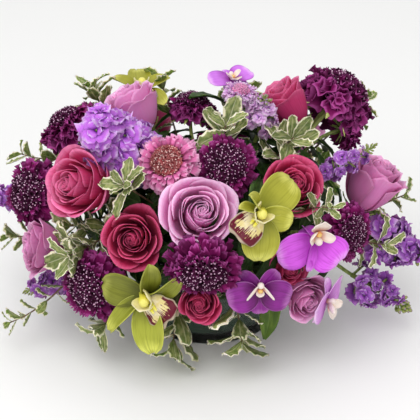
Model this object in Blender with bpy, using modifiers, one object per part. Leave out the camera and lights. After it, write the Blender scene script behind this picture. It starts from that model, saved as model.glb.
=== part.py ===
"""A vase flower arrangement: cut stems held by floral foam in a glass vase with a leaf lining.

Run it with: blender --background --python part.py

Metres, +Z up. The origin is the middle of the vase's base, on the surface that it stands on.
Each cut stem is one closed solid: its bloom or leaves and the stem that ends in the foam.
Headings are given as an azimuth and an elevation in degrees: azimuth 0 is the front, -Y, and
a positive azimuth turns towards +X. Places in the tables below are in millimetres.
"""

import math
from typing import NamedTuple

import bmesh
import bpy
from mathutils import Matrix, Vector

MM = 0.001
GAP = 0.3 * MM

# Glass vase
VASE_RADIUS = 75 * MM
VASE_HEIGHT = 90 * MM
VASE_WALL = 3 * MM
VASE_BASE = 10 * MM
VASE_EDGE = 1.5 * MM
VASE_SEGMENTS = 40

# Leaf lining inside the glass
LINING_THICKNESS = 1.0 * MM
LINING_CLEARANCE = 0.6 * MM
LINING_BELOW_RIM = 3 * MM
LINING_SEAM = 8.0
LINING_SEGMENTS = 36

# Floral foam: a block with a round top, which the stems are pushed into
FOAM_RADIUS = 66 * MM
FOAM_FOCUS = Vector((0, 0, 72 * MM))
FOAM_SEGMENTS = 24
FOAM_RINGS = 6
FOAM_CHAMFER = 4 * MM

# Stems
STEM_RADIUS = {"rose": 2.6, "scabiosa": 1.7, "orchid": 2.0, "stock": 2.6, "sprig": 1.6}
STEM_SIDES = {"rose": 6, "scabiosa": 6, "orchid": 6, "stock": 6, "sprig": 4}
STEM_INSERTED_TO = 42 * MM
STEM_STRAIGHT_TO = 79 * MM
STEM_LOWEST_ELEVATION = 19.0
STEM_CURVE_POINTS = 3

# Leaves of the greenery
LEAF_THICKNESS = 1.2 * MM
LEAF_WIDTH = 0.46
GOLDEN_ANGLE = 137.5
LEAF_FIRST_TILT = 30
LEAF_LAST_TILT = 70


class Bloom(NamedTuple):
    """One flower: its place in millimetres, the way it faces, its radius and its turn."""

    name: str
    kind: str
    place: tuple
    azimuth: float
    elevation: float
    radius: float
    roll: float = 0.0
    length: float = 1.0
    socket: tuple = ()


class Shoot(NamedTuple):
    """The leafy end of a twig: its tip's place in millimetres and the way that it grows."""

    place: tuple
    azimuth: float
    elevation: float
    leaves: int
    leaf: float
    leafy: float = 22.0


class Sprig(NamedTuple):
    """One twig of greenery with one or more shoots."""

    name: str
    shoots: tuple
    socket: tuple = ()


ROSES = (
    Bloom("rose_magenta_1", "rose", (-121, -56, 176), -42, 32, 31, 10),
    Bloom("rose_magenta_2", "rose", (-70, -104, 141), -8, 28, 27, 40),
    Bloom("rose_magenta_3", "rose", (78, 30, 215), -100, 58, 21, 0, 1.2),
    Bloom("rose_magenta_4", "rose", (82, -68, 177), 18, 50, 25, 25),
    Bloom("rose_magenta_5", "rose", (-8, -126, 88), -3, 15, 23, 60, 1.0, (-2, 19)),
    Bloom("rose_magenta_6", "rose", (73, -98, 107), 22, 12, 19, 15, 1.0, (30, 33)),
    Bloom("rose_magenta_7", "rose", (-62, 102, 152), 200, 30, 28, 30),
    Bloom("rose_lavender_1", "rose", (-10, -100, 168), 8, 40, 32, 5),
    Bloom("rose_lavender_2", "rose", (-76, 18, 212), -110, 58, 25, 30, 1.2),
    Bloom("rose_lavender_3", "rose", (160, -20, 152), 95, 25, 26, 0, 1.25),
    Bloom("rose_lavender_4", "rose", (-162, -52, 99), -75, 12, 21, 45, 1.0, (-76, 32)),
    Bloom("rose_lavender_5", "rose", (90, -106, 78), 28, -2, 18, 20, 1.0, (38, 19)),
    Bloom("rose_lavender_6", "rose", (92, 92, 150), 145, 30, 26, 0),
)
SCABIOSAS = (
    Bloom("scabiosa_plum_1", "scabiosa", (-135, 32, 189), -115, 50, 27),
    Bloom("scabiosa_plum_2", "scabiosa", (-176, 0, 132), -48, 28, 28, 0, 1.0, (-90, 32)),
    Bloom("scabiosa_plum_3", "scabiosa", (-16, 60, 197), 165, 62, 23),
    Bloom("scabiosa_plum_4", "scabiosa", (16, -60, 191), 5, 46, 26),
    Bloom("scabiosa_plum_5", "scabiosa", (128, 58, 216), 108, 44, 31),
    Bloom("scabiosa_plum_6", "scabiosa", (140, 44, 180), 110, 2, 21),
    Bloom("scabiosa_plum_7", "scabiosa", (-112, -104, 89), -38, 6, 28, 0, 1.0, (-40, 22)),
    Bloom("scabiosa_plum_8", "scabiosa", (-4, -140, 137), 0, -8, 29, 0, 1.0, (0, 33)),
    Bloom("scabiosa_plum_9", "scabiosa", (135, -74, 131), 45, 15, 25, 0, 1.0, (68, 30)),
    Bloom("scabiosa_plum_10", "scabiosa", (18, 118, 126), 175, 18, 26),
    Bloom("scabiosa_pink_1", "scabiosa", (-38, -66, 203), -22, 50, 25),
    Bloom("scabiosa_pink_2", "scabiosa", (32, 22, 230), 80, 80, 14),
)
ORCHIDS = (
    Bloom("cymbidium_1", "cymbidium", (47, -118, 178), 14, 32, 33, -50),
    Bloom("cymbidium_2", "cymbidium", (-53, -136, 95), -12, 10, 33, 25, 1.0, (-23, 21)),
    Bloom("cymbidium_3", "cymbidium", (-66, 58, 221), 190, 45, 26, 180),
    Bloom("phalaenopsis_1", "phalaenopsis", (99, -110, 137), 20, 0, 30, 180, 1.0, (46, 27)),
    Bloom("phalaenopsis_2", "phalaenopsis", (48, -136, 104), 5, 6, 27, 180, 1.0, (22, 21)),
    Bloom("phalaenopsis_3", "phalaenopsis", (114, -106, 78), 50, 5, 22, 0, 1.0, (54, 19)),
    Bloom("phalaenopsis_4", "phalaenopsis", (21, 58, 228), 5, 42, 16, 0),
)
STOCKS = (
    Bloom("stock_violet_1", "stock", (-84, -32, 200), -58, 52, 26, 0, 1.35),
    Bloom("stock_violet_2", "stock", (-201, 26, 112), -100, 5, 12, 0, 1.4, (-102, 19)),
    Bloom("stock_violet_3", "stock", (-162, -38, 46), -75, -12, 12, 0, 1.4, (-80, 19)),
    Bloom("stock_violet_4", "stock", (186, -14, 82), 80, -4, 22, 0, 1.3, (88, 19)),
    Bloom("stock_violet_5", "stock", (172, -46, 43), 72, -10, 20, 0, 1.3, (67, 19)),
    Bloom("stock_violet_6", "stock", (123, -36, 181), 75, 42, 12, 0, 2.2),
    Bloom("stock_violet_7", "stock", (52, -2, 220), 20, 72, 14, 0, 1.3),
    Bloom("stock_violet_8", "stock", (-118, 88, 116), 230, 18, 20, 0, 1.8),
)
SPRIGS = (
    Sprig("pittosporum_1", (Shoot((-110, 54, 222), -130, 50, 5, 25),)),
    Sprig("pittosporum_2", (Shoot((-48, 82, 216), 205, 50, 4, 24),)),
    Sprig("pittosporum_3", (Shoot((-200, -14, 88), -85, 5, 5, 22),), (-92, 19)),
    Sprig("pittosporum_4", (Shoot((-184, -80, 34), -74, -12, 6, 18, 48),), (-67, 19)),
    Sprig("pittosporum_5", (Shoot((-130, -92, 122), -42, 20, 6, 28),), (-56, 33)),
    Sprig("pittosporum_6", (Shoot((-78, -94, 190), -42, 30, 5, 26),)),
    Sprig("pittosporum_7", (Shoot((-106, -106, 34), -45, -30, 6, 24, 45),), (-54, 19)),
    Sprig("pittosporum_8", (Shoot((-34, -118, 24), -5, -55, 5, 22, 35),), (-12, 19)),
    Sprig("pittosporum_9", (Shoot((33, -124, 36), 10, -60, 6, 24, 35),), (10, 19)),
    Sprig("pittosporum_10", (Shoot((17, -24, 219), 0, 60, 6, 30),)),
    Sprig("pittosporum_11", (Shoot((81, -28, 208), 30, 50, 6, 28),)),
    Sprig("pittosporum_12", (Shoot((115, -108, 178), 40, 20, 4, 17),), (54, 34)),
    Sprig(
        "pittosporum_13",
        (Shoot((176, -44, 98), 62, 15, 4, 24), Shoot((198, 4, 127), 88, 25, 4, 24)),
        (76, 19),
    ),
    Sprig("pittosporum_14", (Shoot((162, 84, 196), 120, 40, 5, 26), Shoot((120, 98, 100), 130, 5, 6, 28)),),
    Sprig("pittosporum_15", (
        Shoot((-114, 88, 178), 225, 35, 6, 28),
        Shoot((-190, 46, 150), 260, 20, 4, 24),
        Shoot((-40, 122, 96), 195, -5, 6, 28),
    )),
    Sprig("pittosporum_16", (Shoot((38, 108, 186), 170, 40, 6, 30), Shoot((60, 122, 88), 160, -10, 6, 28)),),
)

# Dark blade leaf that hangs over the rim at the front
BLADE_PATH = ((42, -74, 102), (54, -98, 98), (60, -110, 76), (58, -116, 54), (54, -116, 34))
BLADE_WIDTHS = (2.0, 7.0, 12.0, 10.0, 1.0)

COLOURS = {
    "glass": (0.62, 0.70, 0.66),
    "leaf_lining": (0.030, 0.060, 0.035),
    "foam": (0.10, 0.20, 0.09),
    "rose_magenta": (0.43, 0.035, 0.12),
    "rose_lavender": (0.60, 0.22, 0.50),
    "scabiosa_plum": (0.13, 0.01, 0.09),
    "scabiosa_pink": (0.72, 0.24, 0.50),
    "cymbidium": (0.46, 0.58, 0.07),
    "phalaenopsis": (0.45, 0.07, 0.55),
    "stock_violet": (0.30, 0.12, 0.66),
    "pittosporum": (0.17, 0.28, 0.08),
}
PETAL_ROUGHNESS = 0.55
GLASS_ROUGHNESS = 0.05


def clear_scene():
    """Removes whatever the file opened with."""
    for obj in list(bpy.data.objects):
        bpy.data.objects.remove(obj, do_unlink=True)


def new_collection(name):
    """Adds a collection to the scene."""
    collection = bpy.data.collections.new(name)
    bpy.context.scene.collection.children.link(collection)
    return collection


def material(name, roughness=PETAL_ROUGHNESS, transmission=0.0):
    """The Principled material of one finish."""
    finish = bpy.data.materials.new(name)
    finish.use_nodes = True
    shader = finish.node_tree.nodes["Principled BSDF"]
    shader.inputs["Base Color"].default_value = (*COLOURS[name], 1)
    shader.inputs["Roughness"].default_value = roughness
    shader.inputs["Transmission Weight"].default_value = transmission
    return finish


def heading(azimuth, elevation):
    """The unit vector of an azimuth and an elevation in degrees."""
    around = math.radians(azimuth)
    up = math.radians(elevation)
    flat = math.cos(up)
    return Vector((math.sin(around) * flat, -math.cos(around) * flat, math.sin(up)))


def facing(axis, roll=0.0):
    """The rotation whose Z is the axis and whose X is level, turned about Z by the roll."""
    right = Vector((0, 0, 1)).cross(axis)
    if right.length < 1e-6:
        right = Vector((1, 0, 0))
    right.normalize()
    upward = axis.cross(right)
    turn = Matrix((right, upward, axis)).transposed().to_4x4()
    return turn @ Matrix.Rotation(math.radians(roll), 4, "Z")


def evaluated_mesh(data, modifiers=()):
    """The mesh of an object with these modifiers, each a (type, settings) pair."""
    maker = bpy.data.objects.new("maker", data)
    bpy.context.scene.collection.objects.link(maker)
    for kind, settings in modifiers:
        modifier = maker.modifiers.new(kind.title(), kind)
        for key, value in settings.items():
            setattr(modifier, key, value)
    graph = bpy.context.evaluated_depsgraph_get()
    mesh = bpy.data.meshes.new_from_object(maker.evaluated_get(graph))
    bpy.data.objects.remove(maker, do_unlink=True)
    return mesh


def turned(name, profile, segments):
    """The solid or disc of a profile of (radius, height) points turned about Z."""
    line = bpy.data.meshes.new(name)
    edges = [(i, i + 1) for i in range(len(profile) - 1)]
    line.from_pydata([(radius, 0, height) for radius, height in profile], edges, [])
    screw = {
        "angle": math.tau,
        "steps": segments,
        "render_steps": segments,
        "use_merge_vertices": True,
        "merge_threshold": 0.00005,
    }
    mesh = evaluated_mesh(line, [("SCREW", screw)])
    mesh.name = name
    return mesh


def welded(mesh):
    """Joins the points that lie together, such as a tube's and its caps'."""
    work = bmesh.new()
    work.from_mesh(mesh)
    bmesh.ops.remove_doubles(work, verts=work.verts, dist=0.00001)
    work.to_mesh(mesh)
    work.free()
    return mesh


def tube(name, points, radius, sides):
    """A bar of four or six sides along the points, with closed ends."""
    curve = bpy.data.curves.new(name, "CURVE")
    curve.dimensions = "3D"
    curve.bevel_depth = radius
    curve.bevel_resolution = (sides - 4) // 2
    curve.use_fill_caps = True
    spline = curve.splines.new("POLY")
    spline.points.add(len(points) - 1)
    for knot, point in zip(spline.points, points):
        knot.co = (*point, 1)
    return welded(evaluated_mesh(curve))


def stalk(route, kind):
    """The stem of this kind along a route."""
    return tube("stalk", route, STEM_RADIUS[kind] * MM, STEM_SIDES[kind])


def joined(name, meshes):
    """One mesh of several."""
    work = bmesh.new()
    for mesh in meshes:
        work.from_mesh(mesh)
    whole = bpy.data.meshes.new(name)
    work.to_mesh(whole)
    work.free()
    return whole


def socket_heading(base, socket):
    """The way that a stem leaves the foam: towards its bloom, and clear of the vase's rim."""
    if socket:
        return heading(*socket)
    away = base - FOAM_FOCUS
    azimuth = math.degrees(math.atan2(away.x, -away.y))
    elevation = math.degrees(math.atan2(away.z, math.hypot(away.x, away.y)))
    return heading(azimuth, max(elevation, STEM_LOWEST_ELEVATION))


def bezier(start, start_handle, end_handle, end, count):
    """Points of one cubic Bezier curve, its ends included."""
    points = []
    for step in range(count + 1):
        t = step / count
        s = 1 - t
        points.append(
            start * s**3 + start_handle * 3 * s * s * t + end_handle * 3 * s * t * t + end * t**3
        )
    return points


def stem_points(base, axis, way):
    """The route of a stem from its end in the foam to the base of its bloom."""
    straight = FOAM_FOCUS + way * STEM_STRAIGHT_TO
    reach = (base - straight).length
    leaving = straight + way * reach * 0.35
    arriving = base - axis * reach * 0.4
    curve = bezier(straight, leaving, arriving, base, STEM_CURVE_POINTS)
    return [FOAM_FOCUS + way * STEM_INSERTED_TO] + curve


class Builder:
    """Makes the nodes and remembers where the foam has to be open for their stems."""

    def __init__(self):
        self.parts = new_collection("vase_flower_arrangement")
        self.helpers = new_collection("helpers")
        self.materials = {}
        self.sockets = []

    def finish(self, name, **settings):
        """The material of that name, made once."""
        if name not in self.materials:
            self.materials[name] = material(name, **settings)
        return self.materials[name]

    def node(self, name, mesh, finish, matrix=None):
        """Adds one named piece."""
        mesh.name = name
        mesh.materials.clear()
        mesh.materials.append(finish)
        mesh.shade_smooth()
        mesh.set_sharp_from_angle(angle=math.radians(40))
        piece = bpy.data.objects.new(name, mesh)
        if matrix:
            piece.matrix_world = matrix
        self.parts.objects.link(piece)
        return piece

    def helper(self, name, mesh):
        """Adds a solid that only joins or cuts a piece."""
        tool = bpy.data.objects.new(name, mesh)
        tool.hide_render = True
        tool.display_type = "WIRE"
        self.helpers.objects.link(tool)
        return tool

    def combine(self, piece, operation, mesh):
        """Joins a solid to a piece, or cuts it away."""
        modifier = piece.modifiers.new(operation.title(), "BOOLEAN")
        modifier.operation = operation
        modifier.use_self = True
        modifier.object = self.helper(f"{piece.name}_{operation.lower()}", mesh)

    def open_socket(self, way, kind):
        """Plans the hole in the foam for a stem: its flats clear the stem's corners."""
        sides = STEM_SIDES[kind]
        radius = (STEM_RADIUS[kind] * MM + GAP) / math.cos(math.pi / sides)
        start = FOAM_FOCUS + way * (STEM_INSERTED_TO - GAP)
        end = FOAM_FOCUS + way * (STEM_STRAIGHT_TO - GAP)
        self.sockets.append(tube("socket", [start, end], radius, sides))

    def stem(self, base, axis, kind, socket):
        """The stem's solid, for whose end a socket is planned."""
        way = socket_heading(base, socket)
        self.open_socket(way, kind)
        return stalk(stem_points(base, axis, way), kind)

    def bloom(self, spec, head, colour, base_depth):
        """Adds one flower: its head, turned to face its way, joined to its stem."""
        axis = heading(spec.azimuth, spec.elevation)
        place = Vector(spec.place) * MM
        matrix = Matrix.Translation(place) @ facing(axis, spec.roll)
        piece = self.node(spec.name, head, self.finish(colour), matrix)
        base = place - axis * (base_depth - 2 * MM)
        kind = "orchid" if spec.kind in ("cymbidium", "phalaenopsis") else spec.kind
        self.combine(piece, "UNION", self.stem(base, axis, kind, spec.socket))
        return piece


def lobed(mesh, lobes, depth, start):
    """Waves a turned mesh: petals stand out in turn round it, from this radius outwards."""
    for vertex in mesh.vertices:
        radius = math.hypot(vertex.co.x, vertex.co.y)
        if radius < start:
            continue
        around = math.atan2(vertex.co.y, vertex.co.x)
        turn = math.pi if vertex.co.z < 0 else 0
        scale = 1 + depth * math.cos(lobes * around + turn)
        vertex.co.x *= scale
        vertex.co.y *= scale
    return mesh


def rose_head(radius, length):
    """A rose: a cup of petals whose top has two rings round the bud."""
    outline = (
        (0, 0.50), (0.20, 0.60), (0.36, 0.46), (0.60, 0.62), (0.86, 0.50),
        (0.98, 0.26), (0.80, -0.22), (0.42, -0.60), (0.12, -0.74), (0, -0.76),
    )
    profile = [(r * radius, z * radius * length) for r, z in outline]
    return lobed(turned("rose", profile, 10), 5, 0.05, 0.3 * radius)


def scabiosa_head(radius):
    """A scabiosa: a dome of small florets over a skirt of frilled ones."""
    outline = (
        (0, 0.40), (0.24, 0.36), (0.42, 0.22), (0.50, 0.06), (0.74, 0.12),
        (1.0, -0.02), (0.92, -0.12), (0.45, -0.12), (0.20, -0.30), (0, -0.34),
    )
    profile = [(r * radius, z * radius) for r, z in outline]
    return lobed(turned("scabiosa", profile, 12), 6, 0.05, 0.6 * radius)


def stock_head(radius, length):
    """A spike of stock: whorls of double florets that narrow to a tip of buds."""
    outline = (
        (0, 1.0), (0.34, 0.86), (0.62, 0.60), (0.58, 0.44), (0.92, 0.22),
        (0.82, -0.02), (1.0, -0.30), (0.78, -0.62), (0.30, -0.84), (0, -0.90),
    )
    profile = [(r * radius, z * radius * length) for r, z in outline]
    return lobed(turned("stock", profile, 8), 4, 0.06, 0.4 * radius)


def orchid_head(radius, notch, roundness, thickness):
    """An orchid: five petals in one disc, cupped a little, with the lip and column before it."""
    rings = [(0, 0), (0.5 * radius, 0), (radius, 0)]
    disc = turned("orchid", rings, 20)
    for vertex in disc.vertices:
        reach = math.hypot(vertex.co.x, vertex.co.y) / radius
        around = math.atan2(vertex.co.x, vertex.co.y)
        lobe = notch + (1 - notch) * abs(math.cos(2.5 * around)) ** roundness
        narrow = 1 if reach > 0.6 else 1.2
        vertex.co.x *= lobe * narrow
        vertex.co.y *= lobe * narrow
        vertex.co.z = radius * 0.22 * reach * (1 - 0.6 * reach)
    solidify = {"thickness": thickness, "offset": 0.0, "use_even_offset": True}
    return evaluated_mesh(disc, [("SOLIDIFY", solidify)])


def orchid_lip(radius):
    """The lip and column: an egg that stands out below the orchid's middle."""
    work = bmesh.new()
    bmesh.ops.create_uvsphere(work, u_segments=6, v_segments=4, radius=1)
    size = Vector((0.26, 0.34, 0.24)) * radius
    bmesh.ops.scale(work, vec=size, verts=work.verts)
    bmesh.ops.translate(work, vec=(0, -0.16 * radius, 0.20 * radius), verts=work.verts)
    mesh = bpy.data.meshes.new("lip")
    work.to_mesh(mesh)
    work.free()
    return mesh


def ribbon(points, widths, side, thickness, strips):
    """A leaf along the points, one strip wide or with two strips that meet in a sunk midrib."""
    rows = len(points) - 1
    work = bmesh.new()
    bmesh.ops.create_grid(work, x_segments=strips, y_segments=rows, size=1)
    for vertex in work.verts:
        row = round((vertex.co.y + 1) / 2 * rows)
        across = vertex.co.x
        ahead = points[min(row + 1, rows)] - points[max(row - 1, 0)]
        lift = side.cross(ahead).normalized() * widths[row] * 0.22 * (1 - abs(across))
        vertex.co = points[row] + side * across * widths[row] - lift
    sheet = bpy.data.meshes.new("leaf")
    work.to_mesh(sheet)
    work.free()
    solidify = {"thickness": thickness, "offset": 0.0, "use_even_offset": True}
    return evaluated_mesh(sheet, [("SOLIDIFY", solidify)])


def back_along(route, distance):
    """The point that lies this far back from the route's end, and the way the route runs there."""
    for start, end in zip(reversed(route[:-1]), reversed(route[1:])):
        span = (end - start).length
        if distance <= span:
            return end.lerp(start, distance / span), (end - start).normalized()
        distance -= span
    return route[0], (route[1] - route[0]).normalized()


def shoot_leaves(shoot, route):
    """The leaves of one shoot, set round the end of its twig by the golden angle."""
    leaves = []
    for index in range(shoot.leaves):
        back = index / max(shoot.leaves - 1, 1)
        start, axis = back_along(route, (2 + shoot.leafy * back) * MM)
        turn = facing(axis).to_3x3()
        around = math.radians(GOLDEN_ANGLE * index)
        tilt = math.radians(LEAF_FIRST_TILT + (LEAF_LAST_TILT - LEAF_FIRST_TILT) * back)
        outward = Vector((math.cos(around), math.sin(around), 0))
        side = turn @ Vector((-math.sin(around), math.cos(around), 0))
        points = []
        for reach, bend in ((0, 0.0), (0.5, 0.10), (1, 0.35)):
            lean = tilt + bend
            local = outward * math.sin(lean) + Vector((0, 0, math.cos(lean)))
            points.append(start + turn @ local * shoot.leaf * MM * reach)
        width = shoot.leaf * LEAF_WIDTH * MM / 2
        leaves.append(ribbon(points, (0.25 * width, width, 0.2 * width), side, LEAF_THICKNESS, 1))
    return leaves


def build_sprig(builder, sprig):
    """Adds one twig with its shoots."""
    pieces = []
    main = None
    for shoot in sprig.shoots:
        tip = Vector(shoot.place) * MM
        axis = heading(shoot.azimuth, shoot.elevation)
        if main is None:
            way = socket_heading(tip - axis * shoot.leafy * MM, sprig.socket)
            main = stem_points(tip, axis, way)
            builder.open_socket(way, "sprig")
            route = main
        else:
            fork = main[2]
            ahead = (main[3] - main[1]).normalized()
            reach = (tip - fork).length
            route = bezier(fork, fork + ahead * reach * 0.3, tip - axis * reach * 0.4, tip, STEM_CURVE_POINTS)
        pieces.append(stalk(route, "sprig"))
        pieces.extend(shoot_leaves(shoot, route))
    piece = builder.node(sprig.name, pieces[0], builder.finish("pittosporum"))
    builder.combine(piece, "UNION", joined("leaves", pieces[1:]))


def build_blade(builder):
    """Adds the dark blade leaf that arches over the rim and hangs in front of the vase."""
    points = [Vector(point) * MM for point in BLADE_PATH]
    way = (points[0] - FOAM_FOCUS).normalized()
    builder.open_socket(way, "sprig")
    route = [FOAM_FOCUS + way * STEM_INSERTED_TO, points[0], points[1]]
    widths = [width * MM for width in BLADE_WIDTHS]
    piece = builder.node("blade_leaf_front", stalk(route, "sprig"), builder.finish("leaf_lining"))
    blade = ribbon(points, widths, Vector((1, 0.1, 0)).normalized(), LEAF_THICKNESS, 2)
    builder.combine(piece, "UNION", blade)


def build_vase(builder):
    """Adds the straight glass vase with its thick base."""
    inner = VASE_RADIUS - VASE_WALL
    profile = [
        (0, VASE_BASE),
        (inner, VASE_BASE),
        (inner, VASE_HEIGHT - VASE_EDGE),
        (inner + VASE_WALL / 2, VASE_HEIGHT),
        (VASE_RADIUS, VASE_HEIGHT - VASE_EDGE),
        (VASE_RADIUS, VASE_EDGE),
        (VASE_RADIUS - VASE_EDGE, 0),
        (0, 0),
    ]
    glass = builder.finish("glass", roughness=GLASS_ROUGHNESS, transmission=1.0)
    builder.node("glass_vase", turned("glass_vase", profile, VASE_SEGMENTS), glass)


def build_lining(builder):
    """Adds the leaf rolled inside the glass, open at a narrow seam at the back."""
    outer = VASE_RADIUS - VASE_WALL - LINING_CLEARANCE
    inner = outer - LINING_THICKNESS
    half_seam = math.radians(LINING_SEAM) / 2
    sweep = math.tau - 2 * half_seam
    angles = [math.pi / 2 + half_seam + sweep * i / LINING_SEGMENTS for i in range(LINING_SEGMENTS + 1)]
    outline = [(outer, angle) for angle in angles] + [(inner, angle) for angle in reversed(angles)]
    height = VASE_HEIGHT - LINING_BELOW_RIM - VASE_BASE - GAP
    curve = bpy.data.curves.new("lining_leaf", "CURVE")
    curve.dimensions = "2D"
    curve.fill_mode = "BOTH"
    curve.extrude = height / 2
    spline = curve.splines.new("POLY")
    spline.points.add(len(outline) - 1)
    for knot, (radius, angle) in zip(spline.points, outline):
        knot.co = (radius * math.cos(angle), radius * math.sin(angle), 0, 1)
    spline.use_cyclic_u = True
    mesh = welded(evaluated_mesh(curve))
    middle = Matrix.Translation((0, 0, VASE_BASE + GAP + height / 2))
    builder.node("lining_leaf", mesh, builder.finish("leaf_lining"), middle)


def build_foam(builder):
    """Adds the foam block and opens it for every stem."""
    bottom = VASE_BASE + GAP
    profile = []
    for ring in range(FOAM_RINGS + 1):
        angle = math.pi / 2 * (1 - ring / FOAM_RINGS)
        profile.append((FOAM_RADIUS * math.cos(angle), FOAM_FOCUS.z + FOAM_RADIUS * math.sin(angle)))
    profile[0] = (0, profile[0][1])
    profile += [(FOAM_RADIUS, bottom + FOAM_CHAMFER), (FOAM_RADIUS - FOAM_CHAMFER, bottom), (0, bottom)]
    mesh = turned("floral_foam", profile, FOAM_SEGMENTS)
    piece = builder.node("floral_foam", mesh, builder.finish("foam", roughness=0.9))
    builder.combine(piece, "DIFFERENCE", joined("sockets", builder.sockets))


def main():
    """Builds the whole arrangement."""
    clear_scene()
    builder = Builder()
    build_vase(builder)
    build_lining(builder)
    for spec in ROSES:
        head = rose_head(spec.radius * MM, spec.length)
        builder.bloom(spec, head, spec.name[:-2], 0.76 * spec.radius * spec.length * MM)
    for spec in SCABIOSAS:
        head = scabiosa_head(spec.radius * MM)
        builder.bloom(spec, head, spec.name.rstrip("0123456789_"), 0.34 * spec.radius * MM)
    for spec in ORCHIDS:
        round_petals = spec.kind == "phalaenopsis"
        notch, roundness = (0.5, 0.6) if round_petals else (0.34, 0.9)
        head = orchid_head(spec.radius * MM, notch, roundness, 2 * MM)
        flower = builder.bloom(spec, head, spec.kind, 0)
        lip = orchid_lip(spec.radius * MM)
        lip.transform(flower.matrix_world)
        builder.combine(flower, "UNION", lip)
    for spec in STOCKS:
        head = stock_head(spec.radius * MM, spec.length)
        builder.bloom(spec, head, "stock_violet", 0.90 * spec.radius * spec.length * MM)
    for sprig in SPRIGS:
        build_sprig(builder, sprig)
    build_blade(builder)
    build_foam(builder)


main()
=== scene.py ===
"""A vase flower arrangement: roses, scabiosas, orchids, stocks and leafy sprigs in a low glass vase.

Each cut stem of the CAD frame is one piece here: its bloom or leaves with the stem that goes
into the foam. Blooms are grown in a frame of their own, one radius in size, with the face
towards +Z and the top towards +Y, and are then put where the CAD solid of that stem is.
"""

import logging
import math
from collections.abc import Callable, Iterable, Sequence
from dataclasses import Field, dataclass, field, fields
from enum import Enum
from functools import lru_cache
from typing import ClassVar

import bpy
import numpy as np
from mathutils import Euler, Matrix, Vector


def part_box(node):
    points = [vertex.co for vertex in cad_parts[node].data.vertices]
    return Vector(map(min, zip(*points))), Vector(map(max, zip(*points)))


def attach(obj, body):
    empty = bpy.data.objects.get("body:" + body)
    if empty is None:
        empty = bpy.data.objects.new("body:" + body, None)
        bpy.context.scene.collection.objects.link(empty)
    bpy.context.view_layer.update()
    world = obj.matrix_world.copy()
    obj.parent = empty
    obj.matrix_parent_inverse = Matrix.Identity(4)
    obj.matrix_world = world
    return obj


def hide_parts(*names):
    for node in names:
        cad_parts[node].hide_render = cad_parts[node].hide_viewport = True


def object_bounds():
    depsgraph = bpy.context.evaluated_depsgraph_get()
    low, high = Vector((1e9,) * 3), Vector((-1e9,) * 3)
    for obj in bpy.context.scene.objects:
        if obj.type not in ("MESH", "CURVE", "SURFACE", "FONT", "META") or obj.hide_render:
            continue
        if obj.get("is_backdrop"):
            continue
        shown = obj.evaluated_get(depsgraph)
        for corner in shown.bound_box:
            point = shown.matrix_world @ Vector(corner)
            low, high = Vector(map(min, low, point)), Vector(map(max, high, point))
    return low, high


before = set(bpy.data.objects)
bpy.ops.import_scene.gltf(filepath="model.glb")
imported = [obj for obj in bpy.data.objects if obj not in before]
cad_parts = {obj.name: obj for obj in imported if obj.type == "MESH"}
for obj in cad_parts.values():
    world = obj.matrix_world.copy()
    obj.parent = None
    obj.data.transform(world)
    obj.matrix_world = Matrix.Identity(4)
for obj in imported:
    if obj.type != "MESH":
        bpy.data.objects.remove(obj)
CAD_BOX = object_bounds()

log = logging.getLogger("flower_arrangement")

Rgb = tuple[int, int, int]
Point = tuple[float, float, float]
Outline = Sequence[tuple[float, float]]
Socket = bpy.types.NodeSocket

MM = 0.001
BODY = "root"
GOLDEN_ANGLE = math.radians(137.5)
STEM_POINTS = 12


# ---- directions, colours and curves


def heading(azimuth: float, elevation: float) -> Vector:
    """Turns two angles into a direction.

    Args:
        azimuth: Degrees from the front, -Y, towards +X.
        elevation: Degrees above the level.

    Returns:
        The unit vector.
    """
    turn, rise = math.radians(azimuth), math.radians(elevation)
    flat = math.cos(rise)
    return Vector((math.sin(turn) * flat, -math.cos(turn) * flat, math.sin(rise)))


def spin(degrees: float, axis: str) -> Matrix:
    """Makes the turn about one axis."""
    return Matrix.Rotation(math.radians(degrees), 4, axis)


def facing(axis: Vector, roll: float) -> Matrix:
    """Makes the turn of a bloom that looks along an axis.

    Args:
        axis: The unit vector that the bloom faces.
        roll: Degrees that it is turned about that axis.

    Returns:
        The 4 x 4 rotation from the bloom's frame to the world.
    """
    right = Vector((0, 0, 1)).cross(axis)
    right = right.normalized() if right.length > 1e-6 else Vector((1, 0, 0))
    return Matrix((right, axis.cross(right), axis)).transposed().to_4x4() @ spin(roll, "Z")


def around(out: float, turn: float, height: float) -> Point:
    """Finds a place from its distance from the Z axis, its angle in radians and its height."""
    return (out * math.cos(turn), out * math.sin(turn), height)


def moved(points: np.ndarray, matrix: Matrix) -> np.ndarray:
    """Applies a 4 x 4 matrix to an array of points."""
    values = np.array(matrix)
    return points @ values[:3, :3].T + values[:3, 3]


def own_number(name: str, start: int) -> int:
    """Makes a fixed number from a name, as a seed."""
    return sum(ord(letter) * i for i, letter in enumerate(name, start))


def linear(rgb: Rgb) -> tuple[float, ...]:
    """Turns a colour of 0 to 255 a channel into a linear one with alpha."""
    channels = (c / 255 for c in rgb)
    return (*(c / 12.92 if c <= 0.04045 else ((c + 0.055) / 1.055) ** 2.4 for c in channels), 1.0)


def bezier(points: Sequence, share: np.ndarray) -> np.ndarray:
    """Reads a cubic curve.

    Args:
        points: Its four control values or points.
        share: How far along to read it, from 0 to 1.

    Returns:
        The values at those shares.
    """
    a, b, c, d = (np.asarray(p, float) for p in points)
    t = share[..., None] if a.ndim else share
    return a * (1 - t) ** 3 + 3 * b * t * (1 - t) ** 2 + 3 * c * t**2 * (1 - t) + d * t**3


# ---- meshes


def new_object(name: str, data: bpy.types.ID) -> bpy.types.Object:
    """Makes an object and links it to the scene.

    Args:
        name: Its name.
        data: Its mesh, lamp or camera.

    Returns:
        The object.
    """
    obj = bpy.data.objects.new(name, data)
    bpy.context.scene.collection.objects.link(obj)
    return obj


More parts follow.
